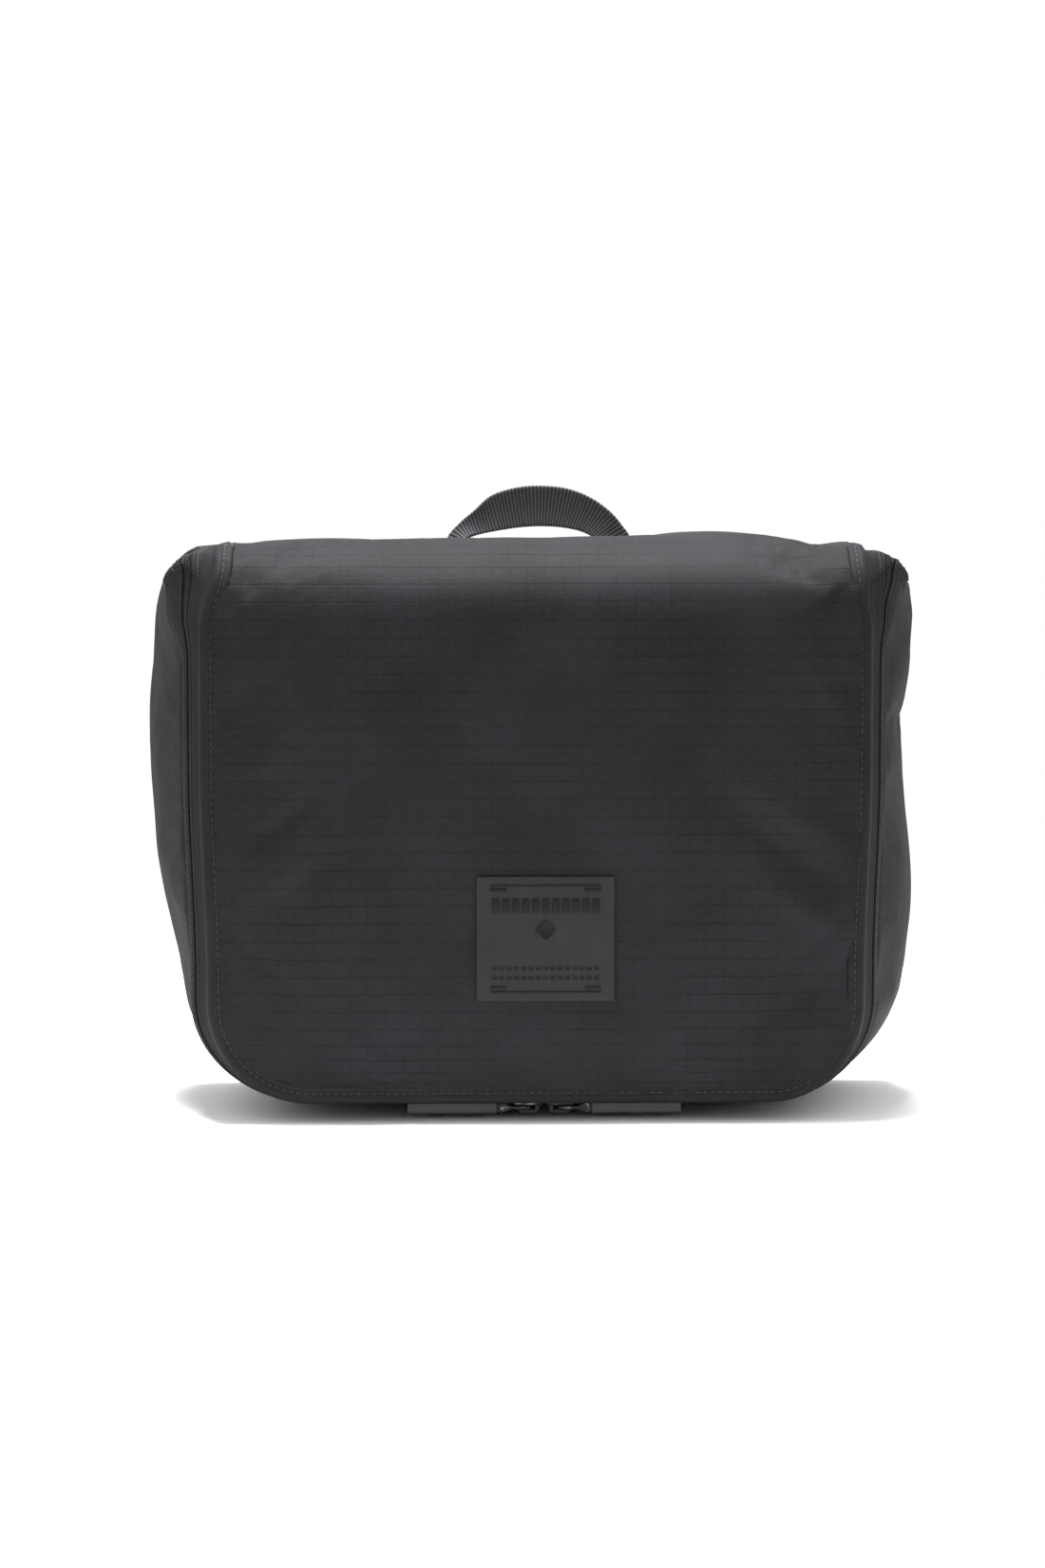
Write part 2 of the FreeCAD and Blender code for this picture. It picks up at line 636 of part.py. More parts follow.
def pull_link(side):
    """A flat eye round the bail's leg, ending in two cheeks for the rivet."""
    made = body(f"pull_link_{side}")
    link_eye(made)
    soften(made, 0.3, lambda edge: edge.Length > 6)
    for low in (0.95, -1.75):
        cheek = sketch(made, "XZ_Plane", (-rivet_x, pull_height, low))
        polygon(cheek, [(2.9, -0.6), (2.9, 0.6), (0.9, 1.4), (-0.7, 1.4), (-1.5, 0.7), (-1.5, -0.7),
                        (-0.7, -1.4), (0.9, -1.4)])
        circle(cheek, rivet_radius)
        pad(made, cheek, length(0.8))
    made.Placement = along_chain(side)


def pull_rivet(side):
    """A plain pin with a head at each end."""
    made = body(f"pull_rivet_{side}")
    shank = sketch(made, "XZ_Plane", (-rivet_x, pull_height, 0))
    circle(shank, rivet_radius - 0.01)
    pad(made, shank, length(3.52), middle=True)
    for low in (1.76, -2.16):
        head = sketch(made, "XZ_Plane", (-rivet_x, pull_height, low))
        circle(head, rivet_radius + 0.4)
        pad(made, head, length(0.4))
    made.Placement = along_chain(side)


def pull_bar(side):
    """A square bar with bevelled edges, and a tongue between the link's cheeks."""
    made = body(f"pull_bar_{side}")
    section = sketch(made, "YZ_Plane", (0, pull_height, -(bar_start + bar_long)))
    flat = bar_half - bar_bevel
    polygon(section, [(-bar_half, -flat), (-flat, -bar_half), (flat, -bar_half), (bar_half, -flat),
                      (bar_half, flat), (flat, bar_half), (-flat, bar_half), (-bar_half, flat)])
    pad(made, section, bar_long)
    soften(made, 0.3, lambda edge: edge.Length < 15)
    tongue = sketch(made, "XZ_Plane", (-rivet_x, pull_height, 0))
    polygon(tongue, [(1.3, -0.7), (1.3, 0.7), (0.6, 1.3), (-2.4, 1.3), (-2.4, -1.3), (0.6, -1.3)])
    circle(tongue, rivet_radius + 0.05)
    pad(made, tongue, length(1.5), middle=True)
    made.Placement = along_chain(side)


for side in ("left", "right"):
    for make in (slider_body, pull_link, pull_rivet, pull_bar):
        make(side)

pocket_frame = Placement(Vector(pocket_slider_x.value, (cover_inner_y + 2.1).value, pocket_zip_z.value),
                         Rotation(Vector(1, 0, 0), -90))
pocket_slider = body("cover_pocket_slider")
outer_plate(pocket_slider)
bail(pocket_slider)
pocket_slider.Placement = pocket_frame

pocket_pull = body("cover_pocket_pull")
link_eye(pocket_pull)
blade = sketch(pocket_pull, "XY_Plane", (0, 0, pull_height - 0.6))
polygon(blade, [(-6.8, -1.9), (-6.8, 1.9), (-10, 3), (-22, 3), (-24, 1.5), (-24, -1.5), (-22, -3), (-10, -3)])
pad(pocket_pull, blade, length(1.2))
pocket_pull.Placement = pocket_frame

# ---- hanging hook, stowed inside the cover ----
tab_half = size("hook_tab_half_width", 8)
hook_tab = body("hook_webbing_tab")
tab_block = sketch(hook_tab, "YZ_Plane")
tab_foot_y = cover_inner_y + 0.1 + mesh_thick + 0.1
tab_face_y = tab_foot_y + 0.8
loop_low, loop_high, loop_end = hook_z - 2.8, hook_z + 2.8, hook_y + 2.8
polygon(tab_block, [(tab_foot_y, hook_z - 13), (tab_face_y, hook_z - 13), (tab_face_y, loop_low),
                    (loop_end, loop_low), (loop_end, loop_high), (tab_face_y, loop_high),
                    (tab_face_y, hook_z + 13), (tab_foot_y, hook_z + 13)])
circle(tab_block, length(2.0), hook_y, hook_z)
pad(hook_tab, tab_block, tab_half * 2, middle=True)

hook_base = body("hook_swivel_base")
cross_bar = sketch(hook_base, "YZ_Plane")
circle(cross_bar, length(1.7), hook_y, hook_z)
pad(hook_base, cross_bar, tab_half * 2 + 6, middle=True)
frame_sketch = sketch(hook_base, "XZ_Plane", (0, hook_z, -(hook_y - 1.9)))
outer_half = tab_half + 3
polygon(frame_sketch, [(-outer_half, -1.7), (-outer_half, 13), (-6, 17), (6, 17), (outer_half, 13),
                       (outer_half, -1.7), (outer_half - 2.4, -1.7), (outer_half - 2.4, 10.5),
                       (-outer_half + 2.4, 10.5), (-outer_half + 2.4, -1.7)])
pad(hook_base, frame_sketch, length(3.8), reverse=True)
stem_bore = sketch(hook_base, "XY_Plane", (0, hook_y, hook_z + 8))
circle(stem_bore, length(1.45))
bore = feature(hook_base, "Pocket", stem_bore)
bore.Length = 12
bore.Reversed = True

hanging_hook = body("hanging_hook")
stem_top = hook_z + 22
stem = sketch(hanging_hook, "XY_Plane", (0, hook_y, hook_z + 7.5))
circle(stem, length(1.4))
pad(hanging_hook, stem, length(14.7))
button = sketch(hanging_hook, "XY_Plane", (0, hook_y, hook_z + 6))
circle(button, length(1.75))
pad(hanging_hook, button, length(2.4))
collar = sketch(hanging_hook, "XY_Plane", (0, hook_y, hook_z + 17.3))
circle(collar, length(2.3))
pad(hanging_hook, collar, length(2.7))
bend_z = stem_top + hook_bend - 2
loop = sketch(hanging_hook, "XY_Plane", (0, hook_y, bend_z))
circle(loop, hook_wire, -hook_bend, 0)
hook_arc = feature(hanging_hook, "Revolution", loop)
hook_arc.ReferenceAxis = (loop, ["V_Axis"])
hook_arc.Angle = 270
tip = sketch(hanging_hook, "XY_Plane", (0, hook_y, bend_z))
circle(tip, hook_wire, -hook_bend, 0)
pad(hanging_hook, tip, length(3), reverse=True)


# ---- check every object, then write one file for each named piece ----
doc.recompute()
for item in doc.Objects:
    if {"Invalid", "Error"} & set(item.State):
        raise RuntimeError(f"{item.Name} did not build")
pieces = [item for item in bodies.values() if item not in (body_side_tape, body_top_tape)] + [body_tape]
os.makedirs("parts", exist_ok=True)
for piece in pieces:
    if piece.Shape.isNull() or not piece.Shape.isValid():
        raise RuntimeError(f"{piece.Label} has no valid shape")
    box = piece.Shape.BoundBox
    print(f"{piece.Label:26} solids {len(piece.Shape.Solids)} volume {piece.Shape.Volume / 1000:8.2f} cm3 "
          f"x {box.XMin:7.1f} {box.XMax:7.1f} y {box.YMin:6.1f} {box.YMax:6.1f} "
          f"z {box.ZMin:6.1f} {box.ZMax:6.1f}")
for piece in pieces:
    piece.Shape.exportStep(f"parts/{piece.Label}.step")
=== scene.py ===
import bpy
import math
import numpy as np
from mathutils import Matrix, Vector, noise


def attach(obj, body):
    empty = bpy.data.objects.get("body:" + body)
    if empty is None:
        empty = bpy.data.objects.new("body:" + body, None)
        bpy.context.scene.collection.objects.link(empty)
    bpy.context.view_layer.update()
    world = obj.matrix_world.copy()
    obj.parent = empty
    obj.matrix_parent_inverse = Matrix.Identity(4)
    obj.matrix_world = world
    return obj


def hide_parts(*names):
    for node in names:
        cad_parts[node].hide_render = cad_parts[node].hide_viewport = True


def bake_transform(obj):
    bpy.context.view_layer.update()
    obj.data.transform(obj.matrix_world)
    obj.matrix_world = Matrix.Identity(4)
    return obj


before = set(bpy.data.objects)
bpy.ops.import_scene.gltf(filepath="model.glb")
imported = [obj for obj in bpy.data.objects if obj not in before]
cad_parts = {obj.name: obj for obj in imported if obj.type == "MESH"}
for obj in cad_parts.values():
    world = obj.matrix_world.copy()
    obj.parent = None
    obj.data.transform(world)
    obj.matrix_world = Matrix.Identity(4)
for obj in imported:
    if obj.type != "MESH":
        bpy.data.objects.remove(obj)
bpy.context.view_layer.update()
mm = 0.001

# ---- camera, floor and light ----
# The bag stands on a pale floor in even white light, under one panel straight above its top.
# The camera looks a little down at it from just left of its middle.
LOOK_AT = Vector((-7.8 * mm, -48 * mm, 117.5 * mm))
azimuth, elevation, distance = math.radians(-1.6), math.radians(5), 1.5
camera_data = bpy.data.cameras.new("camera")
camera_data.lens = 100.4
camera = bpy.data.objects.new("camera", camera_data)
bpy.context.collection.objects.link(camera)
back = Vector((math.sin(azimuth) * math.cos(elevation), -math.cos(azimuth) * math.cos(elevation),
               math.sin(elevation)))
camera.location = LOOK_AT + back * distance
camera.rotation_euler = (-back).to_track_quat("-Z", "Y").to_euler()
bpy.context.scene.camera = camera

bpy.ops.object.select_all(action="DESELECT")
bpy.ops.mesh.primitive_plane_add(size=16)
floor = bpy.context.object
floor.name = "floor"
floor_finish = bpy.data.materials.new("floor_white")
floor_finish.use_nodes = True
floor_shader = floor_finish.node_tree.nodes["Principled BSDF"].inputs
floor_shader["Base Color"].default_value = (0.94, 0.94, 0.94, 1)
floor_shader["Roughness"].default_value = 0.9
floor.data.materials.append(floor_finish)


def softbox(name, place, aim, width, height, watts, spread=180):
    """A rectangular studio light that faces a point."""
    lamp = bpy.data.lights.new(name, "AREA")
    lamp.shape = "RECTANGLE"
    lamp.size, lamp.size_y = width, height
    lamp.energy = watts
    lamp.spread = math.radians(spread)
    fitted = bpy.data.objects.new(name, lamp)
    fitted.location = place
    fitted.rotation_euler = (Vector(aim) - Vector(place)).to_track_quat("-Z", "Y").to_euler()
    bpy.context.collection.objects.link(fitted)


softbox("overhead_panel", (-0.05, 0.05, 1.3), (0, 0.0, 0.198), 0.5, 0.3, 3.5, 40)
world = bpy.data.worlds.new("studio")
world.use_nodes = True
sky = world.node_tree.nodes["Background"].inputs
sky["Color"].default_value = (1, 1, 1, 1)
sky["Strength"].default_value = 1.08
bpy.context.scene.world = world
bpy.context.scene.view_settings.view_transform = "Standard"


# ---- the cover's cloth ----
# One ripstop sheet that covers the front, rolls over the front top edge and runs to the seam along the back.
# It is padded behind, so the front is slightly crowned, with soft slanting creases near its corners.
class Wire:
    """One socket of a material, which adds the nodes that calculate with it."""

    def __init__(self, tree, socket=None):
        self.tree = tree
        self.socket = socket

    def node(self, kind, settings=(), inputs=(), output=0):
        """Adds a node: its settings come first, then the values or links of its sockets."""
        made = self.tree.nodes.new(f"ShaderNode{kind}")
        for word, value in dict(settings).items():
            if word == "stops":
                ramp = made.color_ramp.elements
                while len(ramp) < len(value):
                    ramp.new(0.5)
                for element, (position, colour) in zip(ramp, value):
                    element.position = position
                    element.color = colour
            else:
                setattr(made, word, value)
        for key, value in dict(inputs).items():
            if isinstance(value, Wire):
                self.tree.links.new(value.socket, made.inputs[key])
            else:
                made.inputs[key].default_value = value
        return Wire(self.tree, made.outputs[output])

    def math(self, operation, *others):
        return self.node("Math", {"operation": operation}, enumerate((self,) + others))

    def __add__(self, other):
        return self.math("ADD", other)

    def __sub__(self, other):
        return self.math("SUBTRACT", other)

    def __mul__(self, other):
        return self.math("MULTIPLY", other)

    def __rsub__(self, other):
        return self.math("MULTIPLY_ADD", -1.0, other)

    __radd__ = __add__
    __rmul__ = __mul__

    def own_place(self):
        """The place of a point in its object's own frame."""
        return self.node("TexCoord", output=3)

    def noise(self, place, scale, detail=2.0):
        return self.node("TexNoise", {}, {"Vector": place, "Scale": scale, "Detail": detail})

    def between(self, low, high):
        """0 below low, 1 above high, and smooth in between."""
        return self.node("MapRange", {"interpolation_type": "SMOOTHSTEP"},
                         {"Value": self, "From Min": low, "From Max": high})

    def blend(self, dark, light):
        """A colour that goes from dark to light with this value."""
        return self.node("Mix", {"data_type": "RGBA"}, {0: self, 6: (*dark, 1), 7: (*light, 1)}, 2)


def finish(name, colour, roughness, build=None, **fixed):
    """A named material. build(pen) gives what changes over its surface: colour, roughness and height."""
    made = bpy.data.materials.new(name)
    made.use_nodes = True
    tree = made.node_tree
    shader = tree.nodes["Principled BSDF"]
    shader.inputs["Base Color"].default_value = (*colour, 1)
    shader.inputs["Roughness"].default_value = roughness
    for word, value in fixed.items():
        shader.inputs[word.replace("_", " ").title().replace("Ior", "IOR")].default_value = value
    varying = build(Wire(tree)) if build else {}
    if "height" in varying:
        height, depth = varying.pop("height")
        relief = {"Height": height, "Distance": depth, "Strength": 1.0}
        varying["Normal"] = Wire(tree).node("Bump", {}, relief)
    for socket, value in varying.items():
        tree.links.new(value.socket, shader.inputs[socket])
    return made


def pattern_axes(pen):
    """The two directions of a cloth's own flat pattern, in millimetres."""
    uv = pen.node("TexCoord", output=2)
    apart = pen.node("SeparateXYZ", {}, {0: uv})
    up = Wire(pen.tree, apart.socket.node.outputs[1])
    return uv, apart * 1000, up * 1000


def threads(along, pitch):
    """A row of round threads: 1 on each crown and 0 in each gap."""
    return (along * (math.pi / pitch)).math("SINE").math("ABSOLUTE")


def ripstop(dark, light, rib_shade=0.5):
    """Close diagonal weave with a thicker thread every six millimetres each way, sunk into the cloth. Each
    thread's crown is painted lighter, as a painted highlight, and the sunk ribs are painted darker, as painted
    shade.
    """

    def build(pen):
        uv, across, up = pattern_axes(pen)
        ribs = [1 - threads(axis, pitch).between(0.03, 0.2) for axis, pitch in ((across, 6.1), (up, 6.2))]
        fade = pen.noise(uv, 22.0, 1.0).between(0.3, 0.75)
        rib = (ribs[0] * 0.4).math("MAXIMUM", ribs[1]) * (fade * 0.7 + 0.3)
        diagonal = threads(across * 0.6 + up * 0.6, 0.5)
        weave = diagonal * 0.55 + threads(across, 0.42) * threads(up, 0.42) * 0.45
        cloud = pen.noise(uv, 30.0, 3.0)
        slub = pen.noise(uv, 520.0)
        # Painted highlight on the weave's crowns and painted shade in the sunk ribs.
        shade = (weave * 0.5 + cloud * 0.5 + slub * 0.35 - rib * rib_shade * 0.42 - 0.22).between(0.0, 1.0)
        return {"Base Color": shade.blend(dark, light), "Roughness": 0.72 - weave * 0.12,
                "height": (weave * 0.35 - rib * 0.5 + slub * 0.3, 0.0002)}

    return build


GREY = (0.03, 0.03, 0.032)  # a material's plain colour, under its pattern
# The front and the gusset are one ripstop. This copy is painted darker, as painted shade on the front face; the
# gusset's copy is painted lighter, as painted light on the sides.
front_cloth_painted_darker = finish("front_ripstop_painted_darker", GREY, 0.7,
                     ripstop((0.0055, 0.0055, 0.0065), (0.0215, 0.021, 0.0245), 0.75),
                     specular_ior_level=0.1)

FACE_Y, TOP_Z, FOLD = -48 * mm, 198 * mm, 16 * mm
LOWER_HALF, BASE_Z, CORNER = 113 * mm, 7.2 * mm, 34 * mm
SEAM_DEPTH, HINGE_Y = 1.5 * mm, 44 * mm
# The outline is run through from the middle of the base: bottom, corner, side, fold and top.
RUNS = np.cumsum([0, 79, 53, 143, 25, 75]) * mm
QUARTER = math.pi / 2
# How far the shoulder has dropped at each depth behind the face: depths first, then drops.
SHOULDER = np.array([(-10, 0, 2, 4, 7, 9, 10, 12, 14, 16.5, 19, 24),
                     (-10, 0, 1.2, 1.4, 1.7, 2.1, 2.5, 3.3, 4.5, 6.9, 10.8, 18)]) * mm


def ease(value, low, high):
    share = np.clip((np.asarray(value, float) - low) / (high - low), 0, 1)
    return share * share * (3 - 2 * share)


def lean(points):
    """The soft bag is a little fuller on its left, and its top sags a little towards the hinge."""
    side, bulk = points[..., 0], points[..., 0] / (115 * mm)
    sag = 1.6 - 0.9 * np.exp(-((side - 45 * mm) / (25 * mm)) ** 2) \
        + 1.7 * ease(side, 60 * mm, 92 * mm) * (1 - 0.6 * ease(side, 104 * mm, 118 * mm))
    sag = (sag + 0.4 * ease(-side, 85 * mm, 105 * mm)) * (1 - 0.8 * ease(-side, 104 * mm, 116 * mm))
    behind = ease(points[..., 1], -20 * mm, 40 * mm)
    points[..., 2] -= sag * mm * ease(points[..., 2], 176 * mm, 196 * mm) * behind
    upper_right = np.maximum(bulk, 0) * ease(points[..., 2], 176 * mm, 190 * mm)
    points[..., 0] += 2.8 * mm * upper_right - 3 * mm * bulk ** 2
    return points


def path(run, grow, depth):
    """A point beside the front outline: run is measured from the middle of the base, grow is outwards in the
    plane of the face, and depth is back from the face. Past the fold, depth goes over the rounded shoulder."""
    run, grow, depth = np.broadcast_arrays(*[np.asarray(value, float) for value in (run, grow, depth)])
    side, run = np.sign(run), np.abs(run)
    share = [np.clip((run - low) / (high - low), 0, 1) for low, high in zip(RUNS, RUNS[1:])]
    bend = np.maximum(FOLD - depth, 2 * mm)
    drop = np.interp(depth, SHOULDER[0], SHOULDER[1])
    turn, roll = share[1] * QUARTER, share[3] * QUARTER
    x = share[0] * (LOWER_HALF - CORNER) + (CORNER + grow) * np.sin(turn)
    z = BASE_Z + CORNER - (CORNER + grow) * np.cos(turn)
    z = z + share[2] * (TOP_Z - drop - bend - BASE_Z - CORNER) + bend * np.sin(roll)
    y = FACE_Y + depth + bend * (1 - np.cos(roll))
    y = y + share[4] * (HINGE_Y - FACE_Y - depth - bend)
    x = x + share[1] * (2 * mm * ease(z, 50 * mm, 120 * mm) - 4.5 * mm * ease(z, 170 * mm, 194 * mm))
    return lean(np.stack([x * side, y, z], -1))


def fresh(name, add, **settings):
    """Starts a named piece from a simple form."""
    bpy.ops.object.select_all(action="DESELECT")
    add(**settings)
    piece = bpy.context.object
    piece.name = name
    piece.data.name = name
    return piece


def laid_sheet(name, shape, along, across):
    """A grid whose points go where shape(u, v) puts them; shape also gives the flat pattern."""
    piece = fresh(name, bpy.ops.mesh.primitive_grid_add, x_subdivisions=along, y_subdivisions=across, size=1)
    flat = points_of(piece)
    places, pattern = shape(flat[:, 0] + 0.5, flat[:, 1] + 0.5)
    place_points(piece, places)
    corners = np.empty(len(piece.data.loops), int)
    piece.data.loops.foreach_get("vertex_index", corners)
    piece.data.uv_layers.active.data.foreach_set("uv", pattern[corners].astype(np.float32).ravel())
    bpy.ops.object.shade_smooth()
    return piece


def points_of(piece):
    points = np.empty(len(piece.data.vertices) * 3, np.float32)
    piece.data.vertices.foreach_get("co", points)
    return points.reshape(-1, 3).astype(float)


def place_points(piece, points):
    piece.data.vertices.foreach_set("co", points.astype(np.float32).ravel())
    piece.data.update()


def rim_of(along, across):
    """Which points of a laid sheet lie on its rim."""
    row, column = np.divmod(np.arange((along + 1) * (across + 1)), along + 1)
    return (column == 0) | (column == along) | (row == 0) | (row == across)


CLOTH, TAPE, HEM, LINING = 0.5 * mm, 0.45 * mm, 0.4 * mm, 0.3 * mm  # thicknesses


def worked(piece, kind, **settings):
    """Applies one modifier to a piece."""
    step = piece.modifiers.new(kind.lower(), kind)
    for word, value in settings.items():
        setattr(step, word, value)
    bpy.context.view_layer.objects.active = piece
    bpy.ops.object.modifier_apply(modifier=step.name)


def thicken(piece, thickness, offset=-1, material=None):
    """Gives a sheet its cloth thickness, on the inside, and its material."""
    worked(piece, "SOLIDIFY", thickness=thickness, offset=offset)
    if material:
        piece.data.materials.append(material)


def relax(piece, held, slack, cap, floor_z=None, pressure=1.6, frames=16):
    """Lets a sheet settle as cloth that is a little too large, with its seams held, and applies it."""
    start = points_of(piece)
    group = piece.vertex_groups.new(name="seams")
    for index in np.flatnonzero(held):
        group.add([int(index)], 1.0, "REPLACE")
    cloth = piece.modifiers.new("settle", "CLOTH")
    cloth.settings.quality = 6
    cloth.settings.mass = 0.15
    cloth.settings.tension_stiffness = 20
    cloth.settings.compression_stiffness = 20
    cloth.settings.shear_stiffness = 8
    cloth.settings.bending_stiffness = 0.35
    cloth.settings.use_pressure = True
    cloth.settings.uniform_pressure_force = pressure
    cloth.settings.shrink_min = -slack
    cloth.settings.vertex_group_mass = "seams"
    cloth.settings.effector_weights.gravity = 0
    cloth.point_cache.frame_start = 1
    cloth.point_cache.frame_end = frames
    for step in range(1, frames + 1):
        bpy.context.scene.frame_set(step)
    bpy.context.view_layer.objects.active = piece
    bpy.ops.object.modifier_apply(modifier=cloth.name)
    bpy.context.scene.frame_set(1)
    moved = points_of(piece) - start
    far = np.linalg.norm(moved, axis=1, keepdims=True)
    settled = start + moved * np.minimum(1, cap / np.maximum(far, 1e-9))
    if floor_z is not None:
        settled[:, 2] = np.maximum(settled[:, 2], floor_z)
    place_points(piece, settled)
    piece.vertex_groups.clear()


def dents(points, size, seed):
    """A slow, uneven rise and fall over a surface, from -1 to 1."""
    shift = Vector((seed * 7.3, seed * 3.1, seed * 5.7))
    return np.array([noise.noise(Vector(point) / size + shift) for point in points])


def cover_shape(u, v, inset=1.4 * mm):
    """The cover's surface, from a little inside its edge, crowned over the padding."""
    run = RUNS[1] + v * (RUNS[5] - RUNS[1])
    left, right = path(-run, -inset, 0), path(run, -inset, 0)
    points = left + (right - left) * u[:, None]
    roll = ease(run, RUNS[3], RUNS[4]) * QUARTER
    out = np.stack([0 * roll, -np.cos(roll), np.sin(roll)], -1)
    from_side = np.minimum(u, 1 - u) * np.linalg.norm(right - left, axis=1)
    from_base = np.where(run < RUNS[3], points[:, 2] - BASE_Z - inset, 1)
    edge = np.minimum(from_side, np.maximum(from_base, 0))
    crown = (1.9 - 1.3 * roll / QUARTER) * mm * (1 - np.exp(-edge / (9 * mm)))
    points += out * crown[:, None]
    low_end = ease(points[:, 0], 62 * mm, 96 * mm) * ease(HINGE_Y - points[:, 1], 0, 10 * mm)
    points[:, 2] -= 1.8 * mm * low_end * (1 - np.exp(-edge / (2 * mm))) * np.sin(roll)
    return points, np.stack([points[:, 0], run], -1)


def crease(points, start, end, width, depth):
    """Depth of a soft straight crease between two places on the face."""
    start, end = np.array(start) * mm, np.array(end) * mm
    along = end - start
    share = np.clip(((points[:, [0, 2]] - start) @ along) / (along @ along), 0, 1)
    away = np.linalg.norm(points[:, [0, 2]] - start - share[:, None] * along, axis=1)
    return depth * mm * np.sin(share * math.pi) * np.exp(-(away / (width * mm)) ** 2)


cover_cloth = laid_sheet("cover_cloth", cover_shape, 116, 150)
rim = rim_of(116, 150)
relax(cover_cloth, rim, 0.004, 4 * mm)
settled = points_of(cover_cloth)
on_face = ease(-settled[:, 1], 30 * mm, 44 * mm)
relief = dents(settled, 62 * mm, 1) * 0.75 * mm + dents(settled, 24 * mm, 2) * 0.22 * mm
for start, end, width, depth in (((-110, 74), (-66, 106), 5, 1.5), ((-110, 88), (-70, 120), 4, -1.1),
                                 ((-108, 118), (-74, 142), 5, 0.9), ((-86, 42), (-46, 14), 5, 1.1),
                                 ((-104, 62), (-64, 24), 5, -0.9), ((108, 92), (56, 130), 6, 1.8),
                                 ((108, 77), (60, 110), 5, -1.2), ((108, 62), (68, 88), 4, 1.0),
                                 ((107, 130), (88, 168), 4, 0.8), ((90, 40), (50, 14), 5, 1.2),
                                 ((104, 58), (66, 25), 5, -0.8), ((-106, 150), (-96, 108), 4, -0.6)):
    relief += on_face * crease(settled, start, end, width, depth * 1.5)
held_in = ~rim * (0.25 + 0.75 * ease(HINGE_Y - settled[:, 1], 4 * mm, 20 * mm))
settled[:, 1] -= relief * held_in * on_face
higher_right = 1.2 * mm * settled[:, 0] / (110 * mm)
higher_right += np.sin(np.clip(settled[:, 0] / (130 * mm), 0, 1) * math.pi) * mm
settled[:, 2] += (relief + higher_right) * held_in * (1 - on_face)
PATCH_WIDE, PATCH_HIGH, PATCH_Z = 47.4 * mm, 42.7 * mm, 64.5 * mm


def bed_terms(points):
    """Terms of the shallow curved bed that the cloth makes for the patch."""
    x, z = points[:, 0], points[:, 2] - PATCH_Z
    return np.stack([x * 0 + 1, x, z, x * x, z * z], -1)


outside = np.maximum(np.abs(settled[:, 0]) - PATCH_WIDE / 2, np.abs(settled[:, 2] - PATCH_Z) - PATCH_HIGH / 2)
under_patch = (outside < 1 * mm) & (settled[:, 1] < -40 * mm)
bed = np.linalg.lstsq(bed_terms(settled[under_patch]), settled[under_patch, 1], rcond=None)[0]
pressed = (1 - ease(outside, 1.5 * mm, 8 * mm)) * (settled[:, 1] < -40 * mm)
settled[:, 1] += pressed * (bed_terms(settled) @ bed - settled[:, 1])
place_points(cover_cloth, settled)
thicken(cover_cloth, CLOTH, material=front_cloth_painted_darker)
FOLD_START, FOLD_END = (0, -24 * mm, 206 * mm), (0, -56 * mm, 174 * mm)
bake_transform(cover_cloth)
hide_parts("cover_top_panel", "cover_front_panel", "cover_foam")

# ---- stitching ----
# Every seam is sewn with a bonded nylon thread. One stitch is a short pod that dips into the cloth at its ends.
def twisted(pen):
    """Three-ply thread, painted lighter along each ply as a painted highlight."""
    coords = pen.own_place()
    ply = pen.noise(coords, 2400.0, 1.0)
    # Painted highlight along each ply of the thread.
    return {"Base Color": ply.blend((0.003, 0.003, 0.003), (0.016, 0.016, 0.018)),
            "Roughness": 0.42 + ply * 0.2}


thread_finish = finish("sewing_thread", (0.02, 0.02, 0.022), 0.5, twisted, sheen_weight=0.2)
# Each needle hole is drawn as a near-black pod between two stitches: painted shade in the hole.
hole_shade_finish = finish("needle_hole_painted_shade", (0.003, 0.003, 0.003), 0.9, lambda pen: {
    "Roughness": 0.85 + pen.noise(pen.own_place(), 900.0) * 0.1})


def fill_with_copies(piece, places, faces, material):
    """Makes a piece of many copies of one small form. places holds the points of each copy."""
    every = [[corner + index * len(places[0]) for corner in face]
             for index in range(len(places)) for face in faces]
    piece.data.clear_geometry()
    piece.data.from_pydata(np.concatenate(places).tolist(), [], every)
    piece.data.shade_smooth()
    piece.data.materials.append(material)


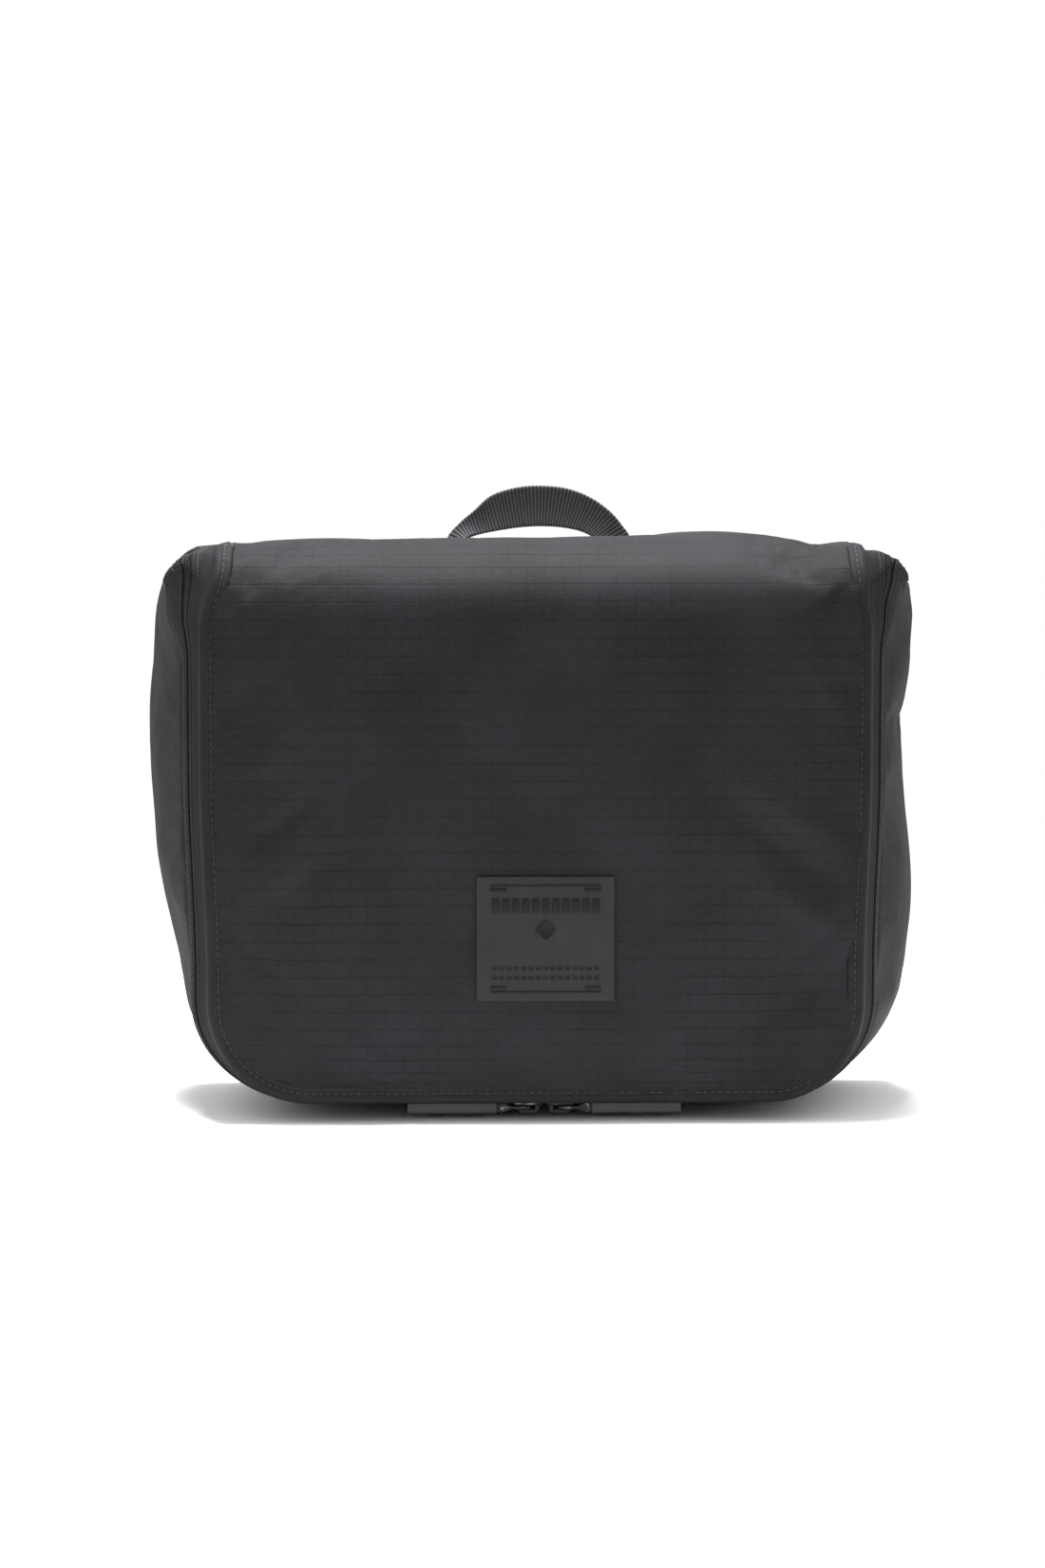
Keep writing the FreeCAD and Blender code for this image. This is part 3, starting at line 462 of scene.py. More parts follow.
def stitch_row(name, body, places, normals, pitch=2.6 * mm, long=1.7 * mm, thick=0.42 * mm, blend=None):
    """A row of stitches along a line of places, with the needle's hole between each two, drawn as a near-black
    pod of painted shade.
    """
    row = fresh(name, bpy.ops.mesh.primitive_uv_sphere_add, segments=6, ring_count=5, radius=0.5)
    pod = points_of(row) * np.array([thick, thick, long])
    faces = [list(face.vertices) for face in row.data.polygons]
    steps = np.linalg.norm(np.diff(places, axis=0), axis=1)
    travelled = np.concatenate([[0], np.cumsum(steps)])
    count = int(travelled[-1] / pitch)
    marks = (np.arange(count * 2) * 0.5 + 0.5) * pitch
    is_shaded_hole = np.arange(count * 2) % 2

    def at(distances, values):
        return np.stack([np.interp(distances, travelled, values[:, axis]) for axis in range(3)], -1)

    spots, ups = at(marks, places), at(marks, normals)
    heads = at(marks + 0.1 * mm, places) - spots
    ups /= np.maximum(np.linalg.norm(ups, axis=1, keepdims=True), 1e-9)
    heads /= np.maximum(np.linalg.norm(heads, axis=1, keepdims=True), 1e-9)
    sides = np.cross(ups, heads)
    length = np.where(is_shaded_hole, (pitch - long) * 1.25 / long, 1.0)[:, None, None]
    width = np.where(is_shaded_hole, 1.6, 1.0)[:, None, None]
    height = np.where(is_shaded_hole, 0.5, 1.0)[:, None, None]
    turned = (pod[None, :, 0:1] * sides[:, None] * width + pod[None, :, 1:2] * ups[:, None] * height
              + pod[None, :, 2:3] * heads[:, None] * length + spots[:, None])
    fill_with_copies(row, turned, faces, thread_finish)
    # The hole pods take the near-black painted shade.
    row.data.materials.append(hole_shade_finish)
    row.data.polygons.foreach_set("material_index", np.repeat(is_shaded_hole, len(faces)).astype(np.int32))
    if blend:
        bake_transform(row)
    else:
        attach(row, body)
    return row


ACROSS_FOLD = (("cover_top", "cover_front"), FOLD_START, FOLD_END)
ZIP_END = RUNS[5] - 1 * mm
full_run = np.linspace(-ZIP_END, ZIP_END, 900)

# ---- the cover's edge strip ----
# The cloth is turned under and topstitched three millimetres in from the zip, which leaves a raised lip
# between the stitches and the seam.


def edge_frame(run, inset, lift):
    """Places beside the cover's edge: inset towards the middle of the panel, lifted off it."""
    return path(run, -inset, -lift)


def profile_sheet(name, place, profile, along=620):
    """A strip along the zip whose cross-section is a short list of (across, lift) points."""
    profile = np.array(profile) * mm

    def shape(u, v):
        run = (u * 2 - 1) * ZIP_END
        index = v * (len(profile) - 1)
        across = np.interp(index, np.arange(len(profile)), profile[:, 0])
        lift = np.interp(index, np.arange(len(profile)), profile[:, 1])
        return place(run, across, lift), np.stack([run, across], -1)

    return laid_sheet(name, shape, along, len(profile) - 1)


def edge_lift(run):
    """How far the lip stands, which wanders a little along the seam."""
    return np.array([noise.noise(Vector((value * 38, 0.4, 0.2))) for value in run]) * 0.25 * mm


def uneven_edge(run, inset, lift):
    """Beside the cover's edge, with the lip's small ups and downs."""
    return edge_frame(run, inset, lift + edge_lift(run))


edge_strip = profile_sheet("cover_edge_strip", uneven_edge,
                           [(-0.35, -2.2), (-0.5, -1.1), (-0.1, -0.1), (0.5, 0.75), (1.5, 1.15), (2.5, 0.95),
                            (3.1, 0.55), (3.7, 0.5), (4.4, 0.75), (5.4, 0.6), (6.2, 0.2)])
thicken(edge_strip, HEM, material=front_cloth_painted_darker)
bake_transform(edge_strip)
stitch_line = edge_frame(full_run, 3.3 * mm, 0.75 * mm)
stitch_up = edge_frame(full_run, 3.3 * mm, 1.75 * mm) - stitch_line
edge_stitches = stitch_row("cover_edge_stitches", None, stitch_line, stitch_up, blend=ACROSS_FOLD)

# ---- the zip's tapes and its chain ----
# A reverse coil zip: the twill tape is folded over the coil, so the closed chain shows a dark line between
# two narrow beads, with two rows of sewing on each side. The band widens from the base to the top corners.


def spread(run):
    """How far the band widens for each unit of its depth."""
    run = np.abs(run)
    return 0.09 + 0.27 * ease(run, RUNS[1], RUNS[2]) + 0.57 * ease(run, RUNS[2] + 112 * mm, RUNS[3] + 12 * mm)


def on_band(run, depth):
    return path(run, spread(run) * (depth - SEAM_DEPTH), depth)


def band(run, depth, lift=0.0):
    """Places on the zip's band, lifted off it."""
    step = 0.05 * mm
    along = on_band(run + step, depth) - on_band(run - step, depth)
    down = on_band(run, depth + step) - on_band(run, depth - step)
    out = np.cross(down, along)
    out /= np.maximum(np.linalg.norm(out, axis=-1, keepdims=True), 1e-12)
    return on_band(run, depth) + out * np.broadcast_to(lift, np.shape(run))[..., None]


def twill(pen):
    """Fine herringbone of the zip's tape, painted lighter on each thread's crown as a painted highlight."""
    uv, along, across = pattern_axes(pen)
    zigzag = (across * (math.pi / 2.4)).math("SINE").math("ARCSINE") * 0.9
    ridge = threads(along + zigzag, 0.62)
    fuzz = pen.noise(uv, 900.0)
    cloud = pen.noise(uv, 60.0)
    # Painted highlight on each thread's crown.
    shade = (ridge * 0.5 + fuzz * 0.3 + cloud * 0.3).between(0.1, 1.0)
    return {"Base Color": shade.blend((0.0045, 0.0045, 0.005), (0.0195, 0.0195, 0.0215)),
            "Roughness": 0.8 - ridge * 0.1, "height": (ridge * 0.8 + fuzz * 0.3, 0.00018)}


tape_twill = finish("zip_tape_twill", (0.03, 0.03, 0.03), 0.8, twill, specular_ior_level=0.08)
cover_tape = profile_sheet("cover_zip_tape", band,
                           [(9.55, -1.3), (9.8, -0.5), (9.85, 0.05), (9.6, 0.33), (9.1, 0.45), (8.4, 0.42),
                            (7.7, 0.2), (7.0, 0.02), (5.4, -0.02), (3.6, 0.05), (1.8, 0.2), (1.0, 0.1)])
thicken(cover_tape, TAPE, material=tape_twill)
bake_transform(cover_tape)
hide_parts("cover_front_zip_tape", "cover_top_zip_tape")

body_tape = profile_sheet("body_zip_tape_cloth", band,
                          [(19.0, -0.6), (16.5, -0.2), (14.4, 0.0), (13.0, 0.02), (12.3, 0.2), (11.6, 0.42),
                           (10.9, 0.45), (10.4, 0.33), (10.15, 0.05), (10.2, -0.5), (10.45, -1.3)])
thicken(body_tape, TAPE, material=tape_twill)
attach(body_tape, "bag")
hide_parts("body_zip_tape")

for side, depths in (("cover", (7.3, 8.7)), ("body", (11.3, 12.7))):
    for number, depth in enumerate(depths):
        line = band(full_run, depth * mm, 0.34 * mm if number == (side == "cover") else 0.1 * mm)
        above = band(full_run, depth * mm, 2 * mm) - band(full_run, depth * mm, 1 * mm)
        row = stitch_row(f"{side}_chain_stitches_{number + 1}", "bag", line, above, 1.55 * mm, 1.05 * mm,
                         0.28 * mm, ACROSS_FOLD if side == "cover" else None)

# ---- the nylon coils ----
# Each tape edge carries a continuous nylon coil on its inner side. A turn is a flattened loop that hooks
# round the turns of the other coil.


def coil_finish(pen):
    coords = pen.own_place()
    scuff = pen.noise(coords, 700.0)
    return {"Base Color": scuff.blend((0.018, 0.018, 0.02), (0.04, 0.04, 0.043)),
            "Roughness": 0.34 + scuff * 0.14}


nylon = finish("coil_nylon", GREY, 0.4, coil_finish)


def coil_row(name, near, far, offset):
    """Turns of a coil, each a bent wire of a few faces, one every 1.6 mm of the chain."""
    row = fresh(name, bpy.ops.mesh.primitive_torus_add, major_segments=8, minor_segments=4, major_radius=0.5,
                minor_radius=0.17)
    loop = points_of(row)
    faces = [list(face.vertices) for face in row.data.polygons]
    runs = np.arange(-RUNS[5] + 2 * mm + offset, RUNS[5] - 2 * mm, 1.6 * mm)
    depth = (near + far) / 2 + loop[:, 0] * (far - near)
    lift = -1.75 * mm + loop[:, 1] * 1.2 * mm
    spots = [band(run + loop[:, 2] * 1.5 * mm + loop[:, 0] * 0.5 * mm, depth, lift) for run in runs]
    fill_with_copies(row, spots, faces, nylon)
    return row


cover_coil = coil_row("cover_coil_turns", 7.5 * mm, 10.25 * mm, 0)
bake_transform(cover_coil)
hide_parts("cover_front_zip_coil", "cover_top_zip_coil")
body_coil = coil_row("body_coil_turns", 9.75 * mm, 12.5 * mm, 0.8 * mm)
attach(body_coil, "bag")
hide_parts("body_zip_coil")

# ---- the gusset ----
# One long ripstop strip makes the two sides and the base. Its front edge is folded and topstitched over the
# zip's tape, and behind that the soft cloth puffs out and wrinkles.
# The same ripstop as the front, painted lighter, as painted light on the sides. The back panel, the hinge
# binding and the zip end tabs use this copy too.
gusset_cloth = finish("gusset_ripstop_painted_lighter", (0.035, 0.035, 0.037), 0.72,
                      ripstop((0.008, 0.008, 0.009), (0.0325, 0.032, 0.0355)), specular_ior_level=0.08)


def tucked(run, depth, lift):
    """The zip's band, whose outer edge tucks in where the gusset's own cloth ends."""
    widest = (20.6 - 1.6 * ease(np.abs(run), RUNS[3] - 25 * mm, RUNS[3])) * mm
    return band(run, np.minimum(depth, widest), lift)


fold_strip = profile_sheet("gusset_folded_edge", tucked,
                           [(20.6, -0.9), (19.4, 0.15), (18.2, 0.7), (17.0, 0.85), (16.3, 0.62), (15.8, 0.55),
                            (15.3, 0.68), (14.6, 0.95), (14.15, 0.85), (13.95, 0.5), (14.05, 0.05)])
thicken(fold_strip, HEM, material=gusset_cloth)
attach(fold_strip, "bag")
line = band(full_run, 15.9 * mm, 0.72 * mm)
fold_stitches = stitch_row("gusset_edge_stitches", "bag", line, band(full_run, 15.9 * mm, 2 * mm) - line)
# Painted highlight along the thread's plies, as on the sewing thread.
fold_stitches.data.materials[0] = finish("dark_thread", (0.02, 0.02, 0.021), 0.55, lambda pen: {
    "Base Color": pen.noise(pen.own_place(), 2400.0).blend(
        (0.01, 0.01, 0.011), (0.035, 0.035, 0.037))})

BACK_HALF, BACK_BASE, BACK_CORNER, SHOULDER_Z, BACK_Y = 127.5 * mm, 2 * mm, 44 * mm, 178 * mm, 45 * mm
SHOULDER_RUN = 22 * mm


def back_outline(run, inset=0.0):
    """The seam round the back, from the middle of the base to the shoulders."""
    run = np.asarray(run, float)
    side, run = np.sign(run), np.abs(run)
    share = [np.clip((run - low) / (high - low), 0, 1) for low, high in zip(RUNS, RUNS[1:])]
    turn = share[1] * QUARTER
    x = share[0] * (BACK_HALF - BACK_CORNER) + (BACK_CORNER - inset) * np.sin(turn)
    z = BACK_BASE + BACK_CORNER - (BACK_CORNER - inset) * np.cos(turn)
    z = z + share[2] * (SHOULDER_Z - BACK_BASE - BACK_CORNER)
    rise = np.clip((run - RUNS[3]) / SHOULDER_RUN, 0, 1)
    x = x - (1 - (1 - rise ** 2.6) ** 0.385) * 16 * mm
    z = z + rise * (TOP_Z - 1.5 * mm - SHOULDER_Z)
    places = lean(np.stack([x * side, np.full_like(z, BACK_Y), z], -1))
    places[..., 0] += 4.6 * mm * (1 - ease(z, 45 * mm, 125 * mm)) \
        + 5.8 * mm * (side < 0) * (1 - ease(z, 40 * mm, 95 * mm))
    return places


def rear_seam(run, inset=0.0):
    """The gusset's back edge, which reaches farther round the shoulders than its front edge."""
    farther = np.sign(run) * 8.3 * mm * ease(np.abs(run), RUNS[3] - 60 * mm, RUNS[3])
    return back_outline(run + farther, inset)


def outward(run):
    """The way out of the bag beside each place: down on the base and sideways on the sides."""
    turn = np.clip((np.abs(run) - RUNS[1]) / (RUNS[2] - RUNS[1]), 0, 1) * QUARTER
    return np.stack([np.sign(run) * np.sin(turn), 0 * run, -np.cos(turn)], -1)


def gusset_shape(u, v, puff=8.5 * mm):
    """The strip between the zip and the back seam. puff is how far its sides swell."""
    run = (u * 2 - 1) * RUNS[3]
    share, far = 1 - v, np.abs(run)
    front, rear = band(run, 19.2 * mm), rear_seam(run)
    height = ease(far, RUNS[2] - 20 * mm, RUNS[2] + 50 * mm)
    near_top = ease(far, RUNS[3] - 45 * mm, RUNS[3] + 8 * mm)
    low = ease(far, RUNS[1] + 20 * mm, RUNS[2]) - ease(far, RUNS[2] + 20 * mm, RUNS[2] + 75 * mm)
    high = ease(far, RUNS[3] - 50 * mm, RUNS[3] - 25 * mm) * (1 - 0.5 * ease(far, RUNS[3] - 12 * mm, RUNS[3]))
    swell = 1.6 * mm + (puff - 1.6 * mm) * height - (puff - 2.6 * mm) * near_top
    right_side = 4.2 * mm * high + 3.6 * mm * low - 1.5 * mm * height * (1 - near_top) * (1 - low)
    swell = swell + np.where(run > 0, right_side, 0)
    points = front + (rear - front) * share[:, None]
    points += outward(run) * (swell * np.sin(np.pi * share) ** 0.7)[:, None]
    return points, np.stack([run, share * 75 * mm], -1)


gusset = laid_sheet("gusset_cloth", gusset_shape, 230, 34)
seams = rim_of(230, 34)
relax(gusset, seams, 0.006, 2.5 * mm, 0.2 * mm)
settled = points_of(gusset)
ripple = dents(settled * [1, 2.2, 0.6], 34 * mm, 3) * 0.7 * mm + dents(settled, 13 * mm, 4) * 0.2 * mm
sideways = ease(settled[:, 2], 12 * mm, 40 * mm) * ~seams
settled[:, 0] += ripple * np.sign(settled[:, 0]) * sideways
middle = np.exp(-(settled[:, 0] / (52 * mm)) ** 2) * (1 - ease(settled[:, 2], 8 * mm, 20 * mm))
settled[:, 2] = np.maximum(settled[:, 2], 0.15 * mm) + 1.2 * mm * middle
place_points(gusset, settled)
thicken(gusset, CLOTH, material=gusset_cloth)
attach(gusset, "bag")
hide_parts("body_gusset")

# ---- the back panel and its welt ----
# A padded ripstop panel closes the back. A corded welt is sewn into the seam all round it.


def back_shape(u, v):
    run = RUNS[1] + v * (RUNS[3] + SHOULDER_RUN - RUNS[1])
    right, left = back_outline(run, 1.2 * mm), back_outline(-run, 1.2 * mm)
    points = right + (left - right) * u[:, None]
    edge = np.minimum(np.minimum(u, 1 - u) * np.linalg.norm(right - left, axis=1),
                      np.minimum(points[:, 2] - BACK_BASE, TOP_Z + 2 * mm - points[:, 2]))
    padding = 2.3 * mm * (1 - np.exp(-np.maximum(edge, 0) / (7 * mm)))
    points[:, 1] += padding + dents(points, 55 * mm, 5) * 0.4 * mm
    return points, np.stack([points[:, 0], run], -1)


back_panel = laid_sheet("back_panel_cloth", back_shape, 110, 110)
thicken(back_panel, 0.6 * mm, material=gusset_cloth)
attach(back_panel, "bag")
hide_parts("back_panel")


def tube(name, places, radius, material):
    """A round cord of cloth along a line of places, closed at both ends."""
    cord = fresh(name, bpy.ops.mesh.primitive_cylinder_add, vertices=10)
    along = np.gradient(places, axis=0)
    along /= np.linalg.norm(along, axis=1, keepdims=True)
    side = np.cross(along, [0.0, 1.0, 0.0001])
    side /= np.linalg.norm(side, axis=1, keepdims=True)
    other = np.cross(along, side)
    angles = np.arange(10) * math.pi / 5
    ring = np.cos(angles)[None, :, None] * side[:, None] + np.sin(angles)[None, :, None] * other[:, None]
    ring = ring * radius
    points = (places[:, None] + ring).reshape(-1, 3)
    count = len(places)
    faces = [[i * 10 + j, i * 10 + (j + 1) % 10, (i + 1) * 10 + (j + 1) % 10, (i + 1) * 10 + j]
             for i in range(count - 1) for j in range(10)]
    faces += [list(range(9, -1, -1)), [(count - 1) * 10 + j for j in range(10)]]
    cord.data.clear_geometry()
    cord.data.from_pydata(points.tolist(), [], faces)
    cord.data.uv_layers.new(name="UVMap")
    bpy.ops.object.mode_set(mode="EDIT")
    bpy.ops.mesh.select_all(action="SELECT")
    bpy.ops.mesh.normals_make_consistent(inside=False)
    bpy.ops.object.mode_set(mode="OBJECT")
    cord.data.shade_smooth()
    cord.data.materials.append(material)
    return cord


def binding_cloth(pen):
    """Close plain weave of narrow cut cloth."""
    coords = pen.own_place()
    grain = pen.node("TexVoronoi", {}, {"Vector": coords, "Scale": 1500.0})
    cloud = pen.noise(coords, 90.0)
    shade = (grain * 0.6 + cloud * 0.5).between(0.1, 0.9)
    return {"Base Color": shade.blend((0.018, 0.018, 0.02), (0.045, 0.045, 0.048)), "height": (grain, 0.0001)}


binding = finish("binding_cloth", GREY, 0.75, binding_cloth, specular_ior_level=0.1)
welt_run = np.linspace(-RUNS[3] - SHOULDER_RUN, RUNS[3] + SHOULDER_RUN, 420)
welt_line = back_outline(welt_run, -0.2 * mm)
welt_line[:, 1] += 0.3 * mm
welt_line[:, 2] = np.maximum(welt_line[:, 2], 1.3 * mm)
back_welt = tube("back_seam_welt", welt_line, 1.15 * mm, binding)
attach(back_welt, "bag")

# ---- the hinge binding ----
# A folded strip of cloth wraps the seam that joins the cover to the back panel. The cover turns on it.
hinge_profile = np.array([(37.2, 198.6), (38, 199.6), (43, 199.9), (45.8, 199.7), (47.5, 198.7), (48.2, 196.6),
                          (48.3, 194.0), (48.2, 190.6), (47.4, 188.2)]) * mm


def hinge_shape(u, v):
    index = v * (len(hinge_profile) - 1)
    y = np.interp(index, np.arange(len(hinge_profile)), hinge_profile[:, 0])
    z = np.interp(index, np.arange(len(hinge_profile)), hinge_profile[:, 1])
    x = (1 - 2 * u) * 107.5 * mm
    wander = np.array([noise.noise(Vector((value * 30, 0.0, 4.0))) for value in x]) * 0.35 * mm
    z = z + wander * (1 - v) - 0.9 * mm * ease(np.abs(x), 86 * mm, 104 * mm) * (1 - v)
    return lean(np.stack([x, y, z], -1)), np.stack([x, index * 2.4 * mm], -1)


hinge_strip = laid_sheet("hinge_binding", hinge_shape, 120, 21)
thicken(hinge_strip, CLOTH, 1, material=gusset_cloth)
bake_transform(hinge_strip)
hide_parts("hinge_seam_binding")

# ---- the rubber patch ----
# A soft rubber badge welded to the front. Its relief is plain shapes: rules at the top and bottom, a ribbed
# bar, a diamond and two ridged rows. They are moulded in one with it and painted darker.


def rubber(pen):
    """Satin moulded rubber with a fine grain and faint rubbed patches."""
    coords = pen.own_place()
    grain = pen.noise(coords, 1400.0)
    rubbed = pen.noise(coords, 90.0, 3.0)
    return {"Base Color": rubbed.blend((0.0135, 0.0135, 0.015), (0.022, 0.022, 0.0245)),
            "Roughness": 0.46 + rubbed * 0.16 + grain * 0.08, "height": (grain, 0.00008)}


def painted(pen):
    """Darker satin paint on the raised shapes, a little worn."""
    worn = pen.noise(pen.own_place(), 600.0)
    return {"Base Color": worn.blend((0.005, 0.005, 0.0055), (0.013, 0.013, 0.0145)),
            "Roughness": 0.4 + worn * 0.15}


def block(width, depth, height, place, bevel, segments=2):
    """A rounded block, its size and place in millimetres."""
    made = fresh("block", bpy.ops.mesh.primitive_cube_add, size=1, location=np.array(place) * mm)
    made.scale = np.array((width, depth, height)) * mm
    bpy.ops.object.transform_apply(location=True, rotation=True, scale=True)
    worked(made, "BEVEL", width=bevel * mm, segments=segments)
    return made


def join(name, pieces, material):
    """Makes one piece of several."""
    bpy.ops.object.select_all(action="DESELECT")
    for piece in pieces:
        piece.select_set(True)
    bpy.context.view_layer.objects.active = pieces[0]
    if len(pieces) > 1:
        bpy.ops.object.join()
    whole = bpy.context.object
    whole.name = name
    whole.data.name = name
    bpy.ops.object.shade_smooth_by_angle(angle=math.radians(35))
    whole.data.materials.append(material)
    return whole


plate = fresh("plate", bpy.ops.mesh.primitive_grid_add, x_subdivisions=24, y_subdivisions=24, size=1,
              rotation=(QUARTER, 0, 0), location=(0, -1.3 * mm, PATCH_Z))
plate.scale = (PATCH_WIDE, PATCH_HIGH, 1)
bpy.ops.object.transform_apply(location=True, rotation=True, scale=True)
thicken(plate, 1.5 * mm)
worked(plate, "BEVEL", width=0.35 * mm, segments=3, limit_method="ANGLE")
relief_parts = [plate]
relief_parts += [block(38, 0.9, 0.45, (0, -1.3, z), 0.12) for z in (82.9, 46.2)]
relief_parts += [block(5.5, 0.9, 1.1, (x, -1.3, z), 0.2) for z in (81.4, 47.7) for x in (-16.2, 16.2)]
relief_parts += [block(2.2, 1.1, 4.8, (-17.2 + 3.44 * index, -1.4, 75.9), 0.3) for index in range(11)]
relief_parts += [block(1.5, 0.9, 1.3, (-17.5 + 2.5 * index, -1.25, z), 0.2, 1) for index in range(15)
                 for z in (54.4, 51.1)]
diamond = fresh("diamond", bpy.ops.mesh.primitive_cylinder_add, vertices=4, radius=3.4 * mm, depth=1.1 * mm,
                rotation=(QUARTER, 0, 0), location=(0, -1.4 * mm, 67.5 * mm))
bpy.ops.object.transform_apply(location=True, rotation=True, scale=True)
bpy.ops.object.mode_set(mode="EDIT")
bpy.ops.mesh.select_all(action="DESELECT")
bpy.ops.object.mode_set(mode="OBJECT")
for face in diamond.data.polygons:
    face.select = face.normal.y < -0.9
bpy.ops.object.mode_set(mode="EDIT")
bpy.ops.mesh.inset(thickness=1.1 * mm, depth=-0.5 * mm)
bpy.ops.object.mode_set(mode="OBJECT")
relief_parts.append(diamond)
plate_faces = len(plate.data.polygons)
patch_rubber = finish("moulded_rubber", (0.02, 0.02, 0.022), 0.5, rubber, specular_ior_level=0.14)
patch_paint = finish("painted_relief", (0.008, 0.008, 0.009), 0.42, painted, specular_ior_level=0.1)
patch = join("rubber_patch_moulded", relief_parts, patch_rubber)
patch.data.materials.append(patch_paint)
raised = np.arange(len(patch.data.polygons)) >= plate_faces
patch.data.polygons.foreach_set("material_index", raised.astype(np.int32))
shaped = points_of(patch)
shaped[:, 1] += bed_terms(shaped) @ bed
place_points(patch, shaped)
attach(patch, "cover_front")
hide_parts("rubber_patch")

# ---- the grab handle ----
# A length of ribbed webbing stands in an arch behind the top edge. Its legs twist as they go down to the back
# panel, where the ends are doubled and sewn in a crossed box.


def ribbed(dark, light, pitch):
    """Ribbed webbing: round ribs across its width, each of several fine threads. Each rib and thread is painted
    lighter on its crown, as a painted highlight.
    """

    def build(pen):
        uv, along, across = pattern_axes(pen)
        rib = threads(along, pitch)
        fine = threads(across, 0.34)
        fuzz = pen.noise(uv, 700.0)
        # Painted highlight on the crowns of the ribs and threads.
        shade = (rib * 0.65 + fine * 0.15 + fuzz * 0.4 - 0.12).between(0.0, 1.0)
        return {"Base Color": shade.blend(dark, light), "Roughness": 0.68 - rib * 0.12,
                "height": (rib + fine * 0.2 + fuzz * 0.2, 0.00032)}

    return build


webbing = finish("ribbed_webbing", (0.03, 0.03, 0.033), 0.65,
                 ribbed((0.013, 0.013, 0.0145), (0.085, 0.085, 0.093), 1.2), specular_ior_level=0.2)


def smooth_through(keys, share):
    """A smooth line through a few key points."""
    keys = np.array(keys, float)
    spot = np.clip(share, 0, 1) * (len(keys) - 1)
    low = np.clip(spot.astype(int), 0, len(keys) - 2)
    t = (spot - low)[:, None]
    before, after = keys[np.maximum(low - 1, 0)], keys[np.minimum(low + 2, len(keys) - 1)]
    a, b = keys[low], keys[low + 1]
    return 0.5 * (2 * a + (b - before) * t + (2 * before - 5 * a + 4 * b - after) * t ** 2
                  + (3 * a - before - 3 * b + after) * t ** 3)


def ribbon(name, left_edge, right_edge, thickness, material, along=120, across=8, arch=0.0):
    """Webbing between two edge lines, a little bowed across its width."""

    def shape(u, v):
        a, b = smooth_through(left_edge, u) * mm, smooth_through(right_edge, u) * mm
        points = a + (b - a) * v[:, None]
        middle = (a + b) / 2
        order = np.argsort(u, kind="stable")
        steps = np.linalg.norm(np.diff(middle[order], axis=0), axis=1)
        steps[np.diff(u[order]) == 0] = 0
        travelled = np.empty(len(u))
        travelled[order] = np.concatenate([[0], np.cumsum(steps)])
        points[:, 1] += arch * mm * np.sin(np.pi * v)
        return points, np.stack([travelled, v * np.linalg.norm(b - a, axis=1).mean()], -1)

    strip = laid_sheet(name, shape, along, across)
    thicken(strip, thickness * mm, 0)
    worked(strip, "BEVEL", width=thickness * 0.3 * mm, segments=2, limit_method="ANGLE")
    strip.data.materials.append(material)
    return strip


outer_edge = [(-34, 48.6, 176), (-34, 48.7, 186), (-33.4, 49.6, 194), (-32, 50.6, 199.5),
              (-27.5, 50.4, 204.6), (-22.5, 49.4, 209), (-16.5, 49.2, 214.2), (-8, 49.2, 217),
              (1, 49.2, 217.8), (11, 49.2, 216.8), (19.5, 49.2, 213.6), (26.5, 49.2, 208.7),
              (31, 49.3, 203.6), (34.2, 49.2, 198), (34.2, 48.7, 186), (34, 48.6, 176)]
inner_edge = [(-20.5, 48.6, 176), (-20.5, 48.7, 186), (-23.5, 47.6, 192.5), (-26, 47.2, 197.2),
              (-24.4, 47.8, 199), (-20, 48.6, 200.3), (-13, 49.0, 201.6), (-6, 49.2, 202.6),
              (1, 49.2, 203), (8, 49.2, 202.7), (14.5, 49.2, 201.6), (19, 49.0, 199.9),
              (22, 48.8, 197.6), (22.4, 48.6, 194), (20.5, 48.7, 186), (20.5, 48.6, 176)]
handle = ribbon("grab_handle_webbing", inner_edge, outer_edge, 1.6, webbing, 190, 12, 0.5)
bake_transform(handle)
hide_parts("grab_handle")

anchors = []
for side, x in (("left", -27.2), ("right", 26.9)):
    anchors.append(block(14.5, 1.2, 14.4, (x, 50.0, 180.8), 0.45, 3))
    corners = [(x - 5.6, 175.4), (x + 5.6, 175.4), (x + 5.6, 186.2), (x - 5.6, 186.2)]
    sewing = [corners[index] for index in (0, 1, 2, 3, 0, 2, 3, 1)]
    line = np.array([(px * mm, 50.65 * mm, pz * mm) for px, pz in sewing])
    spread_line = np.concatenate([a + (b - a) * np.linspace(0, 1, 40, endpoint=False)[:, None]
                                  for a, b in zip(line, line[1:])])
    box_row = stitch_row(f"{side}_handle_box_stitches", "bag", spread_line,
                         np.tile([0.0, 1.0, 0.0], (len(spread_line), 1)), 1.9 * mm, 1.5 * mm, 0.5 * mm)


def ribbed_block(pen):
    """The same webbing on the doubled ends, its ribs level, each rib painted lighter on its crown as a painted
    highlight.
    """
    coords = pen.own_place()
    apart = pen.node("SeparateXYZ", {}, {0: coords})
    rib = threads(Wire(pen.tree, apart.socket.node.outputs[2]) * 1000, 1.2)
    fuzz = pen.noise(coords, 700.0)
    # Painted highlight on the crown of each rib.
    shade = (rib * 0.7 + fuzz * 0.4).between(0.1, 1.0)
    return {"Base Color": shade.blend((0.011, 0.011, 0.012), (0.07, 0.07, 0.076)),
            "height": (rib + fuzz * 0.2, 0.0003)}


doubled = finish("doubled_webbing", (0.03, 0.03, 0.033), 0.65, ribbed_block, sheen_weight=0.3)
handle_ends = join("handle_sewn_end_blocks", anchors, doubled)
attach(handle_ends, "bag")
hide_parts("handle_sewn_ends")

